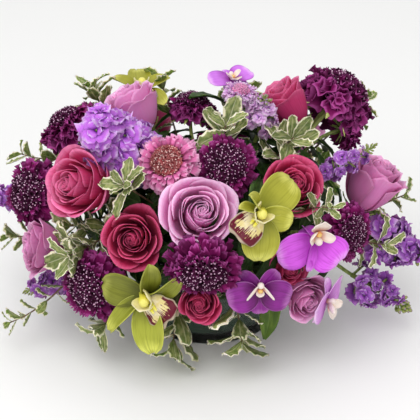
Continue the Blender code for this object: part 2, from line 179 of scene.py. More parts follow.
def read(data: Iterable, name: str, width: int, kind: type = float) -> np.ndarray:
    """Reads one property of every item of a mesh collection.

    Args:
        data: The collection.
        name: The property.
        width: Numbers in each item.
        kind: float or int.

    Returns:
        The values, n x width, or n where width is 1.
    """
    values = np.empty(len(data) * width, np.float32 if kind is float else np.int32)
    data.foreach_get(name, values)
    values = values.astype(kind)
    return values.reshape(-1, width) if width > 1 else values


@lru_cache(maxsize=None)
def sheet_loops(rows: int, across: int, ring: bool) -> np.ndarray:
    """Lists the corners of the quads round a closed sheet.

    Args:
        rows: Grid rows, from the base to the rim.
        across: Grid points in each row.
        ring: Whether each row closes on itself, as in a trumpet.

    Returns:
        An n x 4 array of vertex numbers; the back's vertices follow the front's.
    """
    f = np.arange(rows * across).reshape(rows, across)
    if ring:
        f = np.concatenate([f, f[:, :1]], axis=1)
    b = f + rows * across
    faces = [
        (f[:-1, :-1], f[1:, :-1], f[1:, 1:], f[:-1, 1:]),
        (b[:-1, :-1], b[:-1, 1:], b[1:, 1:], b[1:, :-1]),
        (f[0, :-1], f[0, 1:], b[0, 1:], b[0, :-1]),
        (f[-1, 1:], f[-1, :-1], b[-1, :-1], b[-1, 1:]),
    ]
    if not ring:
        faces.append((f[1:, 0], f[:-1, 0], b[:-1, 0], b[1:, 0]))
        faces.append((f[:-1, -1], f[1:, -1], b[1:, -1], b[:-1, -1]))
    return np.concatenate([np.stack([corner.ravel() for corner in quad], axis=1) for quad in faces])


@dataclass
class Lot:
    """Some faces of a growth, with what varies over them."""

    points: np.ndarray
    loops: np.ndarray  # the vertex numbers of all corners, face by face
    sizes: np.ndarray  # the number of corners of each face
    uv: np.ndarray  # for each corner: across a petal, and from its base to its rim
    tone: np.ndarray  # for each vertex: 0 to 1, which varies its colour
    under: np.ndarray  # for each vertex: 1 on the back of a petal or leaf, else 0
    slot: int


@dataclass
class Growth:
    """Closed solids that grow together, collected into one mesh."""

    lots: list[Lot] = field(default_factory=list)

    def sheet(
        self, grid: np.ndarray, thickness: float, slot: int = 0, tone: float = 0.5, ring: bool = False
    ) -> "Growth":
        """Adds a thin closed sheet, such as a petal.

        Args:
            grid: Its middle surface, rows x across x 3, from its base to its rim.
            thickness: Its thickness at the base; the rim has half.
            slot: Its material slot.
            tone: Its tone.
            ring: Whether each row closes on itself.

        Returns:
            This growth.
        """
        rows, across = grid.shape[:2]
        beside = np.roll(grid, -1, axis=1) - np.roll(grid, 1, axis=1) if ring else np.gradient(grid, axis=1)
        normal = np.cross(np.gradient(grid, axis=0), beside)
        normal /= np.maximum(np.linalg.norm(normal, axis=2, keepdims=True), 1e-12)
        half = normal * (np.linspace(0.5, 0.25, rows) * thickness)[:, None, None]
        points = np.concatenate([(grid + half).reshape(-1, 3), (grid - half).reshape(-1, 3)])
        u, v = np.meshgrid(np.linspace(0, 1, across), np.linspace(0, 1, rows))
        if ring:
            u = 1 - np.abs(2 * u - 1)
        uv = np.tile(np.stack([u.ravel(), v.ravel()], axis=1), (2, 1))
        quads = sheet_loops(rows, across, ring)
        loops = quads.ravel()
        under = np.repeat([0.0, 1.0], rows * across)
        tones = np.full(len(points), tone)
        self.lots.append(Lot(points, loops, np.full(len(quads), 4), uv[loops], tones, under, slot))
        return self

    def turned(self, outline: Outline, sides: int, slot: int = 0, place: Matrix | None = None) -> "Growth":
        """Adds a solid turned about Z.

        Args:
            outline: Radius and height along its section, anticlockwise from the axis to the axis.
            sides: Facets round it.
            slot: Its material slot.
            place: Where to put it.

        Returns:
            This growth.
        """
        angles = np.linspace(0, 2 * math.pi, sides, endpoint=False)
        rings, spots, faces = [], [], []
        for radius, height in outline:
            level = angles if radius > 1e-9 else angles[:1]
            first = len(spots)
            spots += [around(radius, angle, height) for angle in level]
            rings.append([first + k % len(level) for k in range(sides + 1)])
        for low, high in zip(rings, rings[1:]):
            for k in range(sides):
                faces.append(list(dict.fromkeys((low[k], low[k + 1], high[k + 1], high[k]))))
        loops = np.concatenate(faces)
        points = np.array(spots, float)
        rise = (points[:, 2] - points[:, 2].min()) / (np.ptp(points[:, 2]) or 1)
        middle = np.full(len(points), 0.5)
        uv = np.stack([middle, rise], axis=1)
        if place is not None:
            points = moved(points, place)
        sizes = np.array([len(face) for face in faces])
        self.lots.append(Lot(points, loops, sizes, uv[loops], middle, np.zeros(len(points)), slot))
        return self

    def take(self, mesh: bpy.types.Mesh, slot: int = 0) -> None:
        """Adds the faces of a mesh that a node tree made, and removes that mesh.

        Args:
            mesh: The mesh, which may have tone and under attributes and a UV map.
            slot: The material slot for all of it.
        """
        points = read(mesh.vertices, "co", 3)
        loops = read(mesh.loops, "vertex_index", 1, int)
        sizes = read(mesh.polygons, "loop_total", 1, int)
        uv = read(mesh.uv_layers[0].uv, "vector", 2) if mesh.uv_layers else np.full((len(loops), 2), 0.5)
        values = []
        for name, missing in (("tone", 0.5), ("under", 0.0)):
            held = mesh.attributes.get(name)
            values.append(read(held.data, "value", 1) if held else np.full(len(points), missing))
        self.lots.append(Lot(points, loops, sizes, uv, *values, slot))
        bpy.data.meshes.remove(mesh)

    def place(self, matrix: Matrix) -> None:
        """Moves everything collected so far."""
        for lot in self.lots:
            lot.points = moved(lot.points, matrix)

    def joined(self, name: str) -> np.ndarray:
        """Joins one kind of value of all the lots."""
        return np.concatenate([getattr(lot, name) for lot in self.lots])

    def made(self, name: str, finishes: Iterable[bpy.types.Material], toned: bool = True) -> bpy.types.Object:
        """Makes the mesh object.

        Args:
            name: Its name.
            finishes: The materials of its slots.
            toned: Whether it keeps its tones; a scattered shape gets one for each copy.

        Returns:
            The object, at the origin.
        """
        firsts = np.cumsum([0, *(len(lot.points) for lot in self.lots)])
        loops = np.concatenate([lot.loops + first for lot, first in zip(self.lots, firsts)])
        sizes = self.joined("sizes")
        slots = np.repeat([lot.slot for lot in self.lots], [len(lot.sizes) for lot in self.lots])
        mesh = bpy.data.meshes.new(name)
        mesh.vertices.add(int(firsts[-1]))
        mesh.loops.add(len(loops))
        mesh.polygons.add(len(sizes))
        mesh.vertices.foreach_set("co", self.joined("points").ravel())
        mesh.loops.foreach_set("vertex_index", loops)
        mesh.polygons.foreach_set("loop_start", np.cumsum(sizes) - sizes)
        mesh.polygons.foreach_set("material_index", slots)
        mesh.update(calc_edges=True)
        mesh.uv_layers.new(name="UVMap").uv.foreach_set("vector", self.joined("uv").ravel())
        for title in ("tone", "under") if toned else ("under",):
            mesh.attributes.new(title, "FLOAT", "POINT").data.foreach_set("value", self.joined(title))
        mesh.shade_smooth()
        for finish in finishes:
            mesh.materials.append(finish)
        return new_object(name, mesh)


# ---- node trees


class Graph:
    """A node tree that is built with short calls."""

    def __init__(self, tree: bpy.types.NodeTree) -> None:
        """Takes the tree to fill."""
        self.tree = tree

    def fill(self, node: bpy.types.Node, sockets: dict) -> None:
        """Sets and links a node's inputs.

        Args:
            node: The node.
            sockets: Input names or numbers, each with a value or the socket to link from.
        """
        for name, value in sockets.items():
            if isinstance(value, Socket):
                self.tree.links.new(value, node.inputs[name])
            else:
                node.inputs[name].default_value = value

    def add(self, kind: str, sockets: dict | None = None, **settings: object) -> bpy.types.Node:
        """Adds a node.

        Args:
            kind: Its type name.
            sockets: What its inputs are given, as in fill.
            **settings: The node's own properties.

        Returns:
            The node.
        """
        made = self.tree.nodes.new(kind)
        for name, value in settings.items():
            setattr(made, name, value)
        self.fill(made, sockets or {})
        return made

    def get(self, kind: str, sockets: dict | None = None, **settings: object) -> Socket:
        """Adds a node and gives its first output."""
        return self.add(kind, sockets, **settings).outputs[0]

    def math(self, operation: str, a: object, b: object = 0.0, c: object = 0.0) -> Socket:
        """Adds a Math node."""
        return self.get("ShaderNodeMath", {0: a, 1: b, 2: c}, operation=operation)

    def times(self, a: object, b: object) -> Socket:
        """Multiplies two values."""
        return self.math("MULTIPLY", a, b)

    def less(self, a: object, b: object) -> Socket:
        """Takes one value from another."""
        return self.math("SUBTRACT", a, b)

    def scaled(self, value: object, factor: object, more: object) -> Socket:
        """Multiplies a value and adds to it."""
        return self.math("MULTIPLY_ADD", value, factor, more)

    def blend(self, share: object, a: object, b: object, mode: str = "MIX") -> Socket:
        """Mixes two colours."""
        made = self.add("ShaderNodeMix", {0: share, 6: a, 7: b}, data_type="RGBA", blend_type=mode)
        return made.outputs[2]

    def step(self, value: object, low: object, high: object) -> Socket:
        """Gives a smooth step from 0 at low to 1 at high."""
        sockets = {"Value": value, "From Min": low, "From Max": high}
        return self.get("ShaderNodeMapRange", sockets, interpolation_type="SMOOTHSTEP")

    def noise(self, vector: object, scale: object, detail: float = 2.0) -> Socket:
        """Gives noise of about 0.5."""
        return self.get("ShaderNodeTexNoise", {"Vector": vector, "Scale": scale, "Detail": detail})

    def vector(self, x: object, y: object, z: object) -> Socket:
        """Joins three values."""
        return self.get("ShaderNodeCombineXYZ", {0: x, 1: y, 2: z})

    def split(self, vector: Socket) -> Sequence[Socket]:
        """Takes a vector apart."""
        return self.add("ShaderNodeSeparateXYZ", {0: vector}).outputs

    def place(self) -> Socket:
        """Reads the place on the object in a material."""
        return self.add("ShaderNodeTexCoord").outputs["Object"]

    def attribute(self, name: str) -> Socket:
        """Reads a mesh attribute in a material."""
        return self.add("ShaderNodeAttribute", attribute_name=name).outputs["Fac"]


class Paint(Graph):
    """The node tree of a new material, with its Principled shader."""

    def __init__(self, title: str) -> None:
        """Makes the material."""
        self.material = bpy.data.materials.new(title)
        self.material.use_nodes = True
        super().__init__(self.material.node_tree)
        self.shader = self.tree.nodes["Principled BSDF"]

    def finished(self, sockets: dict) -> bpy.types.Material:
        """Fills the shader's inputs and gives the material."""
        self.fill(self.shader, sockets)
        return self.material


class NodeGroup(Graph):
    """A node group with named inputs and outputs."""

    def __init__(self, name: str, kind: str, inputs: dict[str, str], outputs: dict[str, str]) -> None:
        """Makes the group.

        Args:
            name: Its name.
            kind: Its tree type.
            inputs: Socket names, each with its type.
            outputs: Socket names, each with its type.
        """
        super().__init__(bpy.data.node_groups.new(name, kind))
        for direction, sockets in (("INPUT", inputs), ("OUTPUT", outputs)):
            for title, socket in sockets.items():
                self.tree.interface.new_socket(title, in_out=direction, socket_type="NodeSocket" + socket)
        self.given = self.add("NodeGroupInput").outputs
        self.result = self.add("NodeGroupOutput")


class GrowthTree(NodeGroup):
    """A geometry node tree, with a finish for what it makes."""

    def __init__(self, name: str, inputs: dict[str, str]) -> None:
        """Makes the tree with its own inputs between the geometry and the finish."""
        geometry = {"Geometry": "Geometry"}
        super().__init__(name, "GeometryNodeTree", {**geometry, **inputs, "Finish": "Material"}, geometry)

    def named(self, name: str, kind: str = "FLOAT") -> Socket:
        """Reads an attribute of the points."""
        return self.get("GeometryNodeInputNamedAttribute", {"Name": name}, data_type=kind)

    def ended(self, geometry: Socket) -> bpy.types.NodeTree:
        """Ends the tree with the geometry made real and given its finish.

        Args:
            geometry: What the tree has made.

        Returns:
            The tree.
        """
        real = self.get("GeometryNodeRealizeInstances", {"Geometry": geometry})
        last = {"Geometry": real, "Material": self.given["Finish"]}
        self.fill(self.result, {"Geometry": self.get("GeometryNodeSetMaterial", last)})
        return self.tree


@lru_cache(maxsize=None)
def scatter_tree() -> bpy.types.NodeTree:
    """Makes the tree that sets copies of one shape on points that have a turn and a size."""
    tones = {"Least tone": "Float", "Most tone": "Float", "Seed": "Int"}
    graph = GrowthTree("scattered_copies", {"Shape": "Object", "Size": "Float", **tones})
    given = graph.given
    spread = {
        "Points": given["Geometry"],
        "Instance": graph.add("GeometryNodeObjectInfo", {"Object": given["Shape"]}).outputs["Geometry"],
        "Rotation": graph.get("FunctionNodeEulerToRotation", {"Euler": graph.named("turn", "FLOAT_VECTOR")}),
        "Scale": graph.times(graph.named("size"), given["Size"]),
    }
    range_ = {2: given["Least tone"], 3: given["Most tone"], "Seed": given["Seed"]}
    tone = graph.add("FunctionNodeRandomValue", range_, data_type="FLOAT").outputs[1]
    copies = {"Geometry": graph.get("GeometryNodeInstanceOnPoints", spread), "Name": "tone", "Value": tone}
    kind = {"data_type": "FLOAT", "domain": "INSTANCE"}
    return graph.ended(graph.get("GeometryNodeStoreNamedAttribute", copies, **kind))


@lru_cache(maxsize=None)
def stalk_tree() -> bpy.types.NodeTree:
    """Makes the tree that gives lines a round section; their points have a radius."""
    graph = GrowthTree("round_stalks", {"Thickness": "Float", "Sides": "Int"})
    given = graph.given
    section = {"Resolution": given["Sides"], "Radius": 1.0}
    tube = {
        "Curve": graph.get("GeometryNodeMeshToCurve", {"Mesh": given["Geometry"]}),
        "Profile Curve": graph.get("GeometryNodeCurvePrimitiveCircle", section),
        "Scale": graph.times(graph.named("radius"), given["Thickness"]),
        "Fill Caps": True,
    }
    return graph.ended(graph.get("GeometryNodeCurveToMesh", tube))


def grown(
    tree: bpy.types.NodeTree,
    points: Sequence,
    edges: Sequence[tuple[int, int]],
    attributes: dict[str, Sequence],
    inputs: dict[str, object],
) -> bpy.types.Mesh:
    """Runs a geometry node tree on points and lines.

    Args:
        tree: The tree.
        points: The vertices that it starts from.
        edges: The lines between them.
        attributes: Values for each vertex.
        inputs: Values for the tree's named inputs.

    Returns:
        The plain mesh that it makes.
    """
    mesh = bpy.data.meshes.new("seed_points")
    mesh.from_pydata(points, edges, [])
    for name, given in attributes.items():
        values = np.array(given, np.float32)
        kind, key = ("FLOAT_VECTOR", "vector") if values.ndim > 1 else ("FLOAT", "value")
        mesh.attributes.new(name, kind, "POINT").data.foreach_set(key, values.ravel())
    obj = new_object("seed_points", mesh)
    modifier = obj.modifiers.new("growth", "NODES")
    modifier.node_group = tree
    sockets = {item.name: item.identifier for item in tree.interface.items_tree if item.in_out == "INPUT"}
    for name, value in inputs.items():
        modifier[sockets[name]] = value
    graph = bpy.context.evaluated_depsgraph_get()
    result = bpy.data.meshes.new_from_object(obj.evaluated_get(graph), depsgraph=graph)
    obj.modifiers.remove(modifier)
    bpy.data.objects.remove(obj)
    bpy.data.meshes.remove(mesh)
    return result


@dataclass
class Scatter:
    """Copies of one small shape, such as florets or leaves."""

    shape: bpy.types.Object
    seed: int
    places: list[Vector] = field(default_factory=list)
    turns: list[Euler] = field(default_factory=list)
    sizes: list[float] = field(default_factory=list)

    def put(self, place: Sequence[float], turn: Point | Matrix, size: float) -> None:
        """Adds one copy.

        Args:
            place: Where it goes.
            turn: Its turn, as Euler angles or a matrix.
            size: Its scale.
        """
        self.places.append(Vector(place))
        self.turns.append(turn.to_euler() if isinstance(turn, Matrix) else Euler(turn))
        self.sizes.append(size)

    def mesh(self) -> bpy.types.Mesh:
        """Makes the copies with the scatter tree."""
        tones = {"Least tone": 0.0, "Most tone": 1.0, "Seed": self.seed}
        inputs = {"Shape": self.shape, "Size": 1.0, **tones, "Finish": self.shape.data.materials[0]}
        return grown(scatter_tree(), self.places, [], {"turn": self.turns, "size": self.sizes}, inputs)


@dataclass
class Stalks:
    """Stems and twigs of one piece, each along a line."""

    sides: int = 8
    points: list[Sequence[float]] = field(default_factory=list)
    radii: list[float] = field(default_factory=list)
    edges: list[tuple[int, int]] = field(default_factory=list)

    def run(self, line: Sequence[Sequence[float]], start: float, end: float) -> None:
        """Adds one stalk.

        Args:
            line: The points that it follows.
            start: Its radius at the first point.
            end: Its radius at the last.
        """
        first, last = len(self.points), len(line) - 1
        self.points += [tuple(point) for point in line]
        self.radii += [start + (end - start) * i / last for i in range(last + 1)]
        self.edges += [(first + i, first + i + 1) for i in range(last)]

    def mesh(self, finish: bpy.types.Material) -> bpy.types.Mesh:
        """Makes the stalks with the stalk tree."""
        inputs = {"Thickness": 1.0, "Sides": self.sides, "Finish": finish}
        return grown(stalk_tree(), self.points, self.edges, {"radius": self.radii}, inputs)


# ---- finishes


@dataclass(frozen=True)
class Surface:
    """How a finish takes the light."""

    roughness: float = 0.55
    sheen: float = 0.0
    bump: float = 0.15
    depth: float = 0.2 * MM
    soft: float = 0.0
    coat: float = 0.0
    gloss: float = 0.35
    glow: Point = (1.0, 0.5, 0.6)  # how far red, green and blue light go inside


class TintGroup(NodeGroup):
    """A group that colours a surface."""

    title: ClassVar[str]

    def __init__(self, inputs: dict[str, str]) -> None:
        """Makes the group and mixes its inputs.

        Args:
            inputs: The names of its inputs, each with its kind.
        """
        super().__init__(self.title, "ShaderNodeTree", inputs, {"Color": "Color", "Height": "Float"})
        self.fill(self.result, dict(zip(("Color", "Height"), self.mixed(self.given))))

    def mixed(self, value: Sequence[Socket]) -> tuple[Socket, Socket]:
        """Mixes the inputs' values into a colour and a height."""
        raise NotImplementedError

    def over_petal(self) -> tuple[Socket, Socket, Socket]:
        """Reads the places across and along a petal or leaf, and the nearness to its side edges."""
        across, along, _ = self.split(self.get("ShaderNodeUVMap", uv_map="UVMap"))
        return across, along, self.math("ABSOLUTE", self.scaled(across, 2.0, -1.0))

    def toned(self, tint: Socket) -> Socket:
        """Makes a colour lighter or darker by the tone, as far as the Spread input says."""
        light = self.scaled(self.less(self.attribute("tone"), 0.5), self.given["Spread"], 1.0)
        return self.blend(1.0, tint, self.vector(light, light, light), "MULTIPLY")


class PetalTint(TintGroup):
    """Colours a petal from its base to its rim, with fine veins."""

    title = "petal_tint"

    def mixed(self, value: Sequence[Socket]) -> tuple[Socket, Socket]:
        """Mixes the petal's colours.

        Args:
            value: The values of the inputs.

        Returns:
            The colour and the height of the veins.
        """
        across, along, side = self.over_petal()
        shift = self.times(self.attribute("tone"), 17.0)
        cloud = self.noise(self.vector(across, along, shift), 3.5)
        lines = self.vector(self.times(across, 26.0), self.times(along, 1.6), shift)
        veins = self.noise(lines, 1.0, 3.0)
        level = self.math("ADD", along, self.scaled(cloud, 0.3, -0.15))
        edge = self.times(self.math("POWER", side, 5.0), value["Edge"])
        tint = self.blend(self.step(level, 0.05, 0.6), value["Base"], value["Middle"])
        for share, colour in (
            (self.step(self.math("MAXIMUM", level, edge), value["Rim start"], 1.0), "Rim"),
            (self.times(self.attribute("under"), 0.6), "Under"),
            (self.times(self.step(veins, 0.42, 0.75), value["Vein"]), "Base"),
        ):
            tint = self.blend(share, tint, value[colour])
        return self.toned(tint), veins


class LeafTint(TintGroup):
    """Colours a leaf, with its midrib, veins and margin."""

    title = "leaf_tint"

    def mixed(self, value: Sequence[Socket]) -> tuple[Socket, Socket]:
        """Mixes the leaf's colours.

        Args:
            value: The values of the inputs.

        Returns:
            The colour and the height of the ribs.
        """
        across, along, side = self.over_petal()
        shift = self.times(self.attribute("tone"), 23.0)
        cloud = self.noise(self.vector(across, along, shift), 5.0, 3.0)
        streaks = self.noise(self.vector(self.times(across, 30.0), self.times(along, 2.0), shift), 1.0)
        tip = self.math("POWER", along, self.scaled(value["Toward tip"], -4.4, 6.0))
        outward = self.less(self.math("MINIMUM", self.times(along, 1.9), 1.0), 1.0)
        held = self.times(side, self.scaled(value["Toward tip"], outward, 1.0))
        fleck = self.times(self.less(streaks, 0.5), value["Toward tip"])
        edge = self.math("ADD", self.math("MAXIMUM", held, tip), self.scaled(cloud, 0.9, -0.45))
        start = self.less(1.0, value["Margin width"])
        midrib = self.step(side, 0.10, 0.0)
        line = self.step(self.math("MAXIMUM", side, along), 0.90, 0.96)
        tint = self.blend(self.step(cloud, 0.35, 0.65), value["Blade"], value["Streak"])
        for share, colour in (
            (self.times(midrib, 0.35), "Margin"),
            (self.step(self.math("ADD", edge, fleck), start, self.math("ADD", start, 0.14)), "Margin"),
            (self.times(line, value["Outline"]), "Streak"),
        ):
            tint = self.blend(share, tint, value[colour])
        ribs = self.math("SINE", self.times(self.less(along, self.times(side, 0.35)), value["Ribs"]))
        return self.toned(tint), self.less(self.times(ribs, 0.3), midrib)


class MottledTint(TintGroup):
    """Mottles stems, foam and other plain things in two colours."""

    title = "mottle"

    def mixed(self, value: Sequence[Socket]) -> tuple[Socket, Socket]:
        """Mixes the two colours.

        Args:
            value: The values of the inputs.

        Returns:
            The colour and the height of the grain.
        """
        x, y, z = self.split(self.place())
        grain = self.noise(self.vector(x, y, self.times(z, value["Stretch"])), value["Scale"], 4.0)
        return self.blend(self.step(grain, 0.38, 0.64), value["First"], value["Second"]), grain


@dataclass(frozen=True)
class Finish:
    """A material: a shared group with this finish's own colours and numbers.

    Each field after the surface is an input of the group, under the same name.
    """

    title: str
    surface: Surface

    tint: ClassVar[type[TintGroup]]

    @classmethod
    def inputs(cls) -> dict[str, Field]:
        """Gives the names of the group's inputs, each with its field."""
        own = fields(cls)[len(fields(Finish)) :]
        return {item.name.replace("_", " ").capitalize(): item for item in own}

    @classmethod
    @lru_cache(maxsize=None)
    def group(cls) -> bpy.types.NodeTree:
        """Makes the group, once for each kind of finish."""
        kinds = {name: "Color" if item.type is Rgb else "Float" for name, item in cls.inputs().items()}
        return cls.tint(kinds).tree

    @lru_cache(maxsize=None)
    def made(self) -> bpy.types.Material:
        """Makes the material, once.

        Returns:
            The material.
        """
        graph = Paint(self.title)
        look = self.surface
        tint = graph.add("ShaderNodeGroup", node_tree=self.group())
        for name, item in self.inputs().items():
            value = getattr(self, item.name)
            tint.inputs[name].default_value = linear(value) if item.type is Rgb else value
        relief = {"Strength": look.bump, "Distance": look.depth, "Height": tint.outputs["Height"]}
        sockets = {
            "Base Color": tint.outputs["Color"],
            "Normal": graph.get("ShaderNodeBump", relief),
            "Roughness": look.roughness,
            "Sheen Weight": look.sheen,
            "Sheen Roughness": 0.4,
            "Coat Weight": look.coat,
            "Specular IOR Level": look.gloss,
        }
        if look.soft:
            inside = {"Weight": look.soft, "Radius": look.glow, "Scale": 2 * MM}
            sockets |= {f"Subsurface {name}": value for name, value in inside.items()}
        return graph.finished(sockets)


@dataclass(frozen=True)
class PetalFinish(Finish):
    """A petal's colours, from its base to its rim and on its back."""

    base: Rgb
    middle: Rgb
    rim: Rgb
    under: Rgb
    rim_start: float = 0.7
    edge: float = 0.0
    vein: float = 0.2
    spread: float = 0.5

    tint = PetalTint


@dataclass(frozen=True)
class LeafFinish(Finish):
    """A leaf's colours and how far its margin reaches in."""

    blade: Rgb
    streak: Rgb
    margin: Rgb
    margin_width: float = 0.3
    toward_tip: float = 0.0
    outline: float = 0.0
    ribs: float = 60.0
    spread: float = 0.4

    tint = LeafTint


@dataclass(frozen=True)
class MottledFinish(Finish):
    """Two colours in small patches."""

    first: Rgb
    second: Rgb
    scale: float = 300.0
    stretch: float = 0.3

    tint = MottledTint


SILK = Surface(roughness=0.55, sheen=0.03, bump=0.3, depth=0.3 * MM, soft=0.3, gloss=0.15)
WAXY = Surface(roughness=0.38, bump=0.25, depth=0.3 * MM, coat=0.05, gloss=0.25)
PAPERY = Surface(roughness=0.65, bump=0.3, depth=0.3 * MM, gloss=0.1)
LEAFY = Surface(roughness=0.45, bump=0.5, depth=0.4 * MM, soft=0.35, gloss=0.2, glow=(0.6, 1.0, 0.3))
DULL = Surface(roughness=0.7, bump=0.6, depth=0.5 * MM)


class Dress(Enum):
    """The finishes of the flowers and leaves.

    A petal has the colours of its base, middle, rim and back, and a leaf those of its blade,
    streaks and margin.
    """

    MAGENTA = PetalFinish(
        "rose_magenta_petal", SILK, (128, 14, 56), (222, 62, 124), (232, 120, 164), (172, 52, 100), vein=0.25
    )
    WINE = PetalFinish(
        "rose_wine_petal", SILK, (98, 6, 36), (182, 38, 86), (208, 82, 124), (176, 44, 90), vein=0.25
    )
    LAVENDER = PetalFinish(
        "rose_lavender_petal", SILK, (232, 122, 178), (246, 166, 218), (250, 194, 232), (204, 118, 176)
    )
    # A darker, pinker copy of LAVENDER for the lower lavender roses: partly their pinker colour, partly
    # painted shade.
    MAUVE = PetalFinish(
        "rose_mauve_petal", SILK, (190, 84, 140), (218, 134, 186), (238, 172, 212), (184, 102, 156)
    )
    PLUM = PetalFinish(
        "scabiosa_plum_floret", PAPERY, (44, 4, 30), (114, 18, 82), (168, 72, 142), (88, 12, 62),
        rim_start=0.78, spread=0.9,
    )
    PLUM_DOME = PetalFinish(
        "scabiosa_plum_dome", PAPERY, (22, 3, 14), (52, 9, 36), (92, 30, 74), (38, 6, 24), spread=0.9
    )
    PLUM_STAMEN = PetalFinish(
        "scabiosa_plum_stamen", PAPERY, (96, 40, 76), (206, 152, 188), (226, 184, 212), (206, 152, 188)
    )
    PINK = PetalFinish(
        "scabiosa_pink_floret", PAPERY, (164, 56, 104), (216, 116, 170), (240, 178, 214), (208, 122, 172),
        rim_start=0.75,
    )
    PINK_DOME = PetalFinish(
        "scabiosa_pink_dome", PAPERY, (92, 22, 30), (138, 54, 60), (178, 104, 104), (116, 38, 44), spread=0.8
    )
    PINK_STAMEN = PetalFinish(
        "scabiosa_pink_stamen", PAPERY, (150, 70, 80), (222, 168, 166), (238, 202, 196), (222, 168, 166)
    )
    # The stocks' pale rims, brightest at the petals' side edges, are partly the petals' paler edge and partly
    # painted highlight.
    STOCK = PetalFinish(
        "stock_violet_petal", SILK, (112, 38, 142), (184, 104, 208), (228, 184, 244), (166, 92, 190), edge=0.8
    )
    STOCK_DEEP = PetalFinish(
        "stock_deep_petal", SILK, (102, 38, 128), (164, 94, 190), (214, 168, 226), (146, 80, 168), edge=0.8
    )
    STOCK_PALE = PetalFinish(
        "stock_pale_petal", SILK, (154, 92, 182), (224, 166, 222), (246, 216, 242), (206, 148, 208), edge=0.8
    )
    BUD = PetalFinish("stock_bud", PAPERY, (120, 140, 66), (150, 158, 92), (170, 130, 176), (140, 148, 86))
    LIME = PetalFinish(
        "cymbidium_tepal", WAXY, (128, 130, 28), (166, 164, 56), (208, 206, 104), (156, 158, 56),
        edge=0.9, vein=0.5,
    )
    # A darker copy of LIME: painted shade on cymbidium_2, which sits in shade among the other heads.
    LIME_DEEP = PetalFinish(
        "cymbidium_deep_tepal", WAXY, (88, 92, 20), (132, 136, 46), (178, 180, 84), (122, 126, 44),
        edge=0.9, vein=0.5,
    )
    LIP = LeafFinish(
        "cymbidium_lip", WAXY, (226, 208, 140), (238, 226, 196), (98, 2, 34),
        margin_width=0.58, toward_tip=1.0, outline=0.6, ribs=0.0,
    )
    LOBE = PetalFinish(
        "cymbidium_side_lobe", WAXY, (216, 206, 104), (230, 220, 160), (240, 230, 200), (222, 214, 140)
    )
    COLUMN = PetalFinish(
        "orchid_column", WAXY, (206, 204, 70), (228, 218, 78), (236, 228, 120), (220, 212, 90)
    )
    THROAT = PetalFinish(
        "orchid_throat", WAXY, (196, 60, 110), (226, 160, 90), (238, 204, 120), (226, 170, 110)
    )
    ORCHID = PetalFinish(
        "phalaenopsis_petal", WAXY, (160, 30, 168), (218, 92, 230), (236, 158, 244), (212, 116, 224),
        edge=0.8, vein=0.5,
    )
    ORCHID_DEEP = PetalFinish(
        "phalaenopsis_deep_petal", WAXY, (86, 8, 82), (142, 40, 144), (182, 108, 182), (140, 52, 144),
        edge=1.0, vein=0.5,
    )
    ORCHID_MID = PetalFinish(
        "phalaenopsis_violet_petal", WAXY, (150, 48, 164), (196, 112, 218), (226, 170, 240), (192, 116, 214),
        edge=0.8,
    )
    ORCHID_PALE = PetalFinish(
        "phalaenopsis_pale_petal", WAXY, (160, 60, 166), (208, 140, 214), (238, 206, 238), (216, 160, 224),
        edge=0.9, vein=0.4,
    )
    WHITE_LIP = PetalFinish(
        "phalaenopsis_lip", WAXY, (226, 170, 150), (246, 236, 226), (244, 230, 222), (244, 234, 226),
        rim_start=0.5,
    )
    VARIEGATED = LeafFinish(
        "pittosporum_leaf", LEAFY, (98, 112, 60), (150, 154, 100), (242, 236, 204),
        margin_width=0.27, spread=0.7,
    )
    # Dark green stem leaves: their own dark colour, set thick on the stems to also stand for the shade in the
    # gaps between heads.
    GREEN = LeafFinish("green_leaf", LEAFY, (36, 58, 24), (56, 82, 34), (92, 112, 56), margin_width=0.0)
    BLADE = LeafFinish("broad_leaf", LEAFY, (72, 96, 36), (96, 118, 46), (130, 146, 80), margin_width=0.0)
    STEM = MottledFinish("green_stem", LEAFY, (124, 142, 72), (154, 168, 100))
    # A lighter copy of STEM: painted light on the stems of the flared scabiosas, which lie in shade.
    YOUNG_STEM = MottledFinish("young_stem", LEAFY, (172, 184, 100), (196, 204, 128))
    TWIG = MottledFinish("brown_twig", DULL, (92, 66, 52), (128, 104, 80))
    FOAM = MottledFinish("wet_foam", DULL, (16, 34, 14), (32, 56, 26), 900.0, 1.0)

    def made(self) -> bpy.types.Material:
        """Makes the material, or finds it if it is there."""
        return self.value.made()


# ---- small shapes


def fan(
    rows: int,
    across: int,
    width: float,
    fullness: tuple[float, float],
    cup: float = 0.0,
    arch: float = 0.0,
    ruffle: float = 0.0,
    waves: float = 3.0,
    scallop: float = 0.0,
    sweep: float = 0.0,
    phase: float = 0.0,
) -> np.ndarray:
    """Makes the middle surface of a petal or leaf of length 1, along +X with its face up.

    Args:
        rows: Grid rows along it.
        across: Grid points across it.
        width: Its half width at the widest place.
        fullness: Powers of its outline at the base and the tip; a small one is blunt.
        cup: How far its sides turn up.
        arch: Angle in radians that it bends back over its length.
        ruffle: Height of the waves at its edge.
        waves: Number of those waves.
        scallop: Depth of the waves in its outline, as a share of its width.
        sweep: How far its tip is swept to the left.
        phase: Where the waves start.

    Returns:
        The grid, rows x across x 3.
    """
    v = np.linspace(0.03, 0.985, rows)[:, None]
    u = np.linspace(-1, 1, across)[None, :]
    p, q = fullness
    peak = (p / (p + q)) ** p * (q / (p + q)) ** q
    half = width * v**p * (1 - v) ** q / peak
    along = v + 0 * u
    beat = np.sin(2 * math.pi * waves * v + phase + 1.3 * np.sign(u))
    side = half * u * (1 + scallop * beat) + sweep * v**2
    lift = cup * np.abs(u) ** 2 * half / width
    lift = lift + ruffle * np.abs(u) ** 1.5 * v * beat
    lift = lift + ruffle * v**3 * np.sin(4.3 * u + 2 * phase)
    if not arch:
        return np.stack(np.broadcast_arrays(along, side, lift), axis=2)
    bent = arch * along
    x = (np.sin(bent) + 0 * u) / arch + lift * np.sin(bent)
    z = (np.cos(bent) - 1) / arch + lift * np.cos(bent)
    return np.stack(np.broadcast_arrays(x, side, z), axis=2)


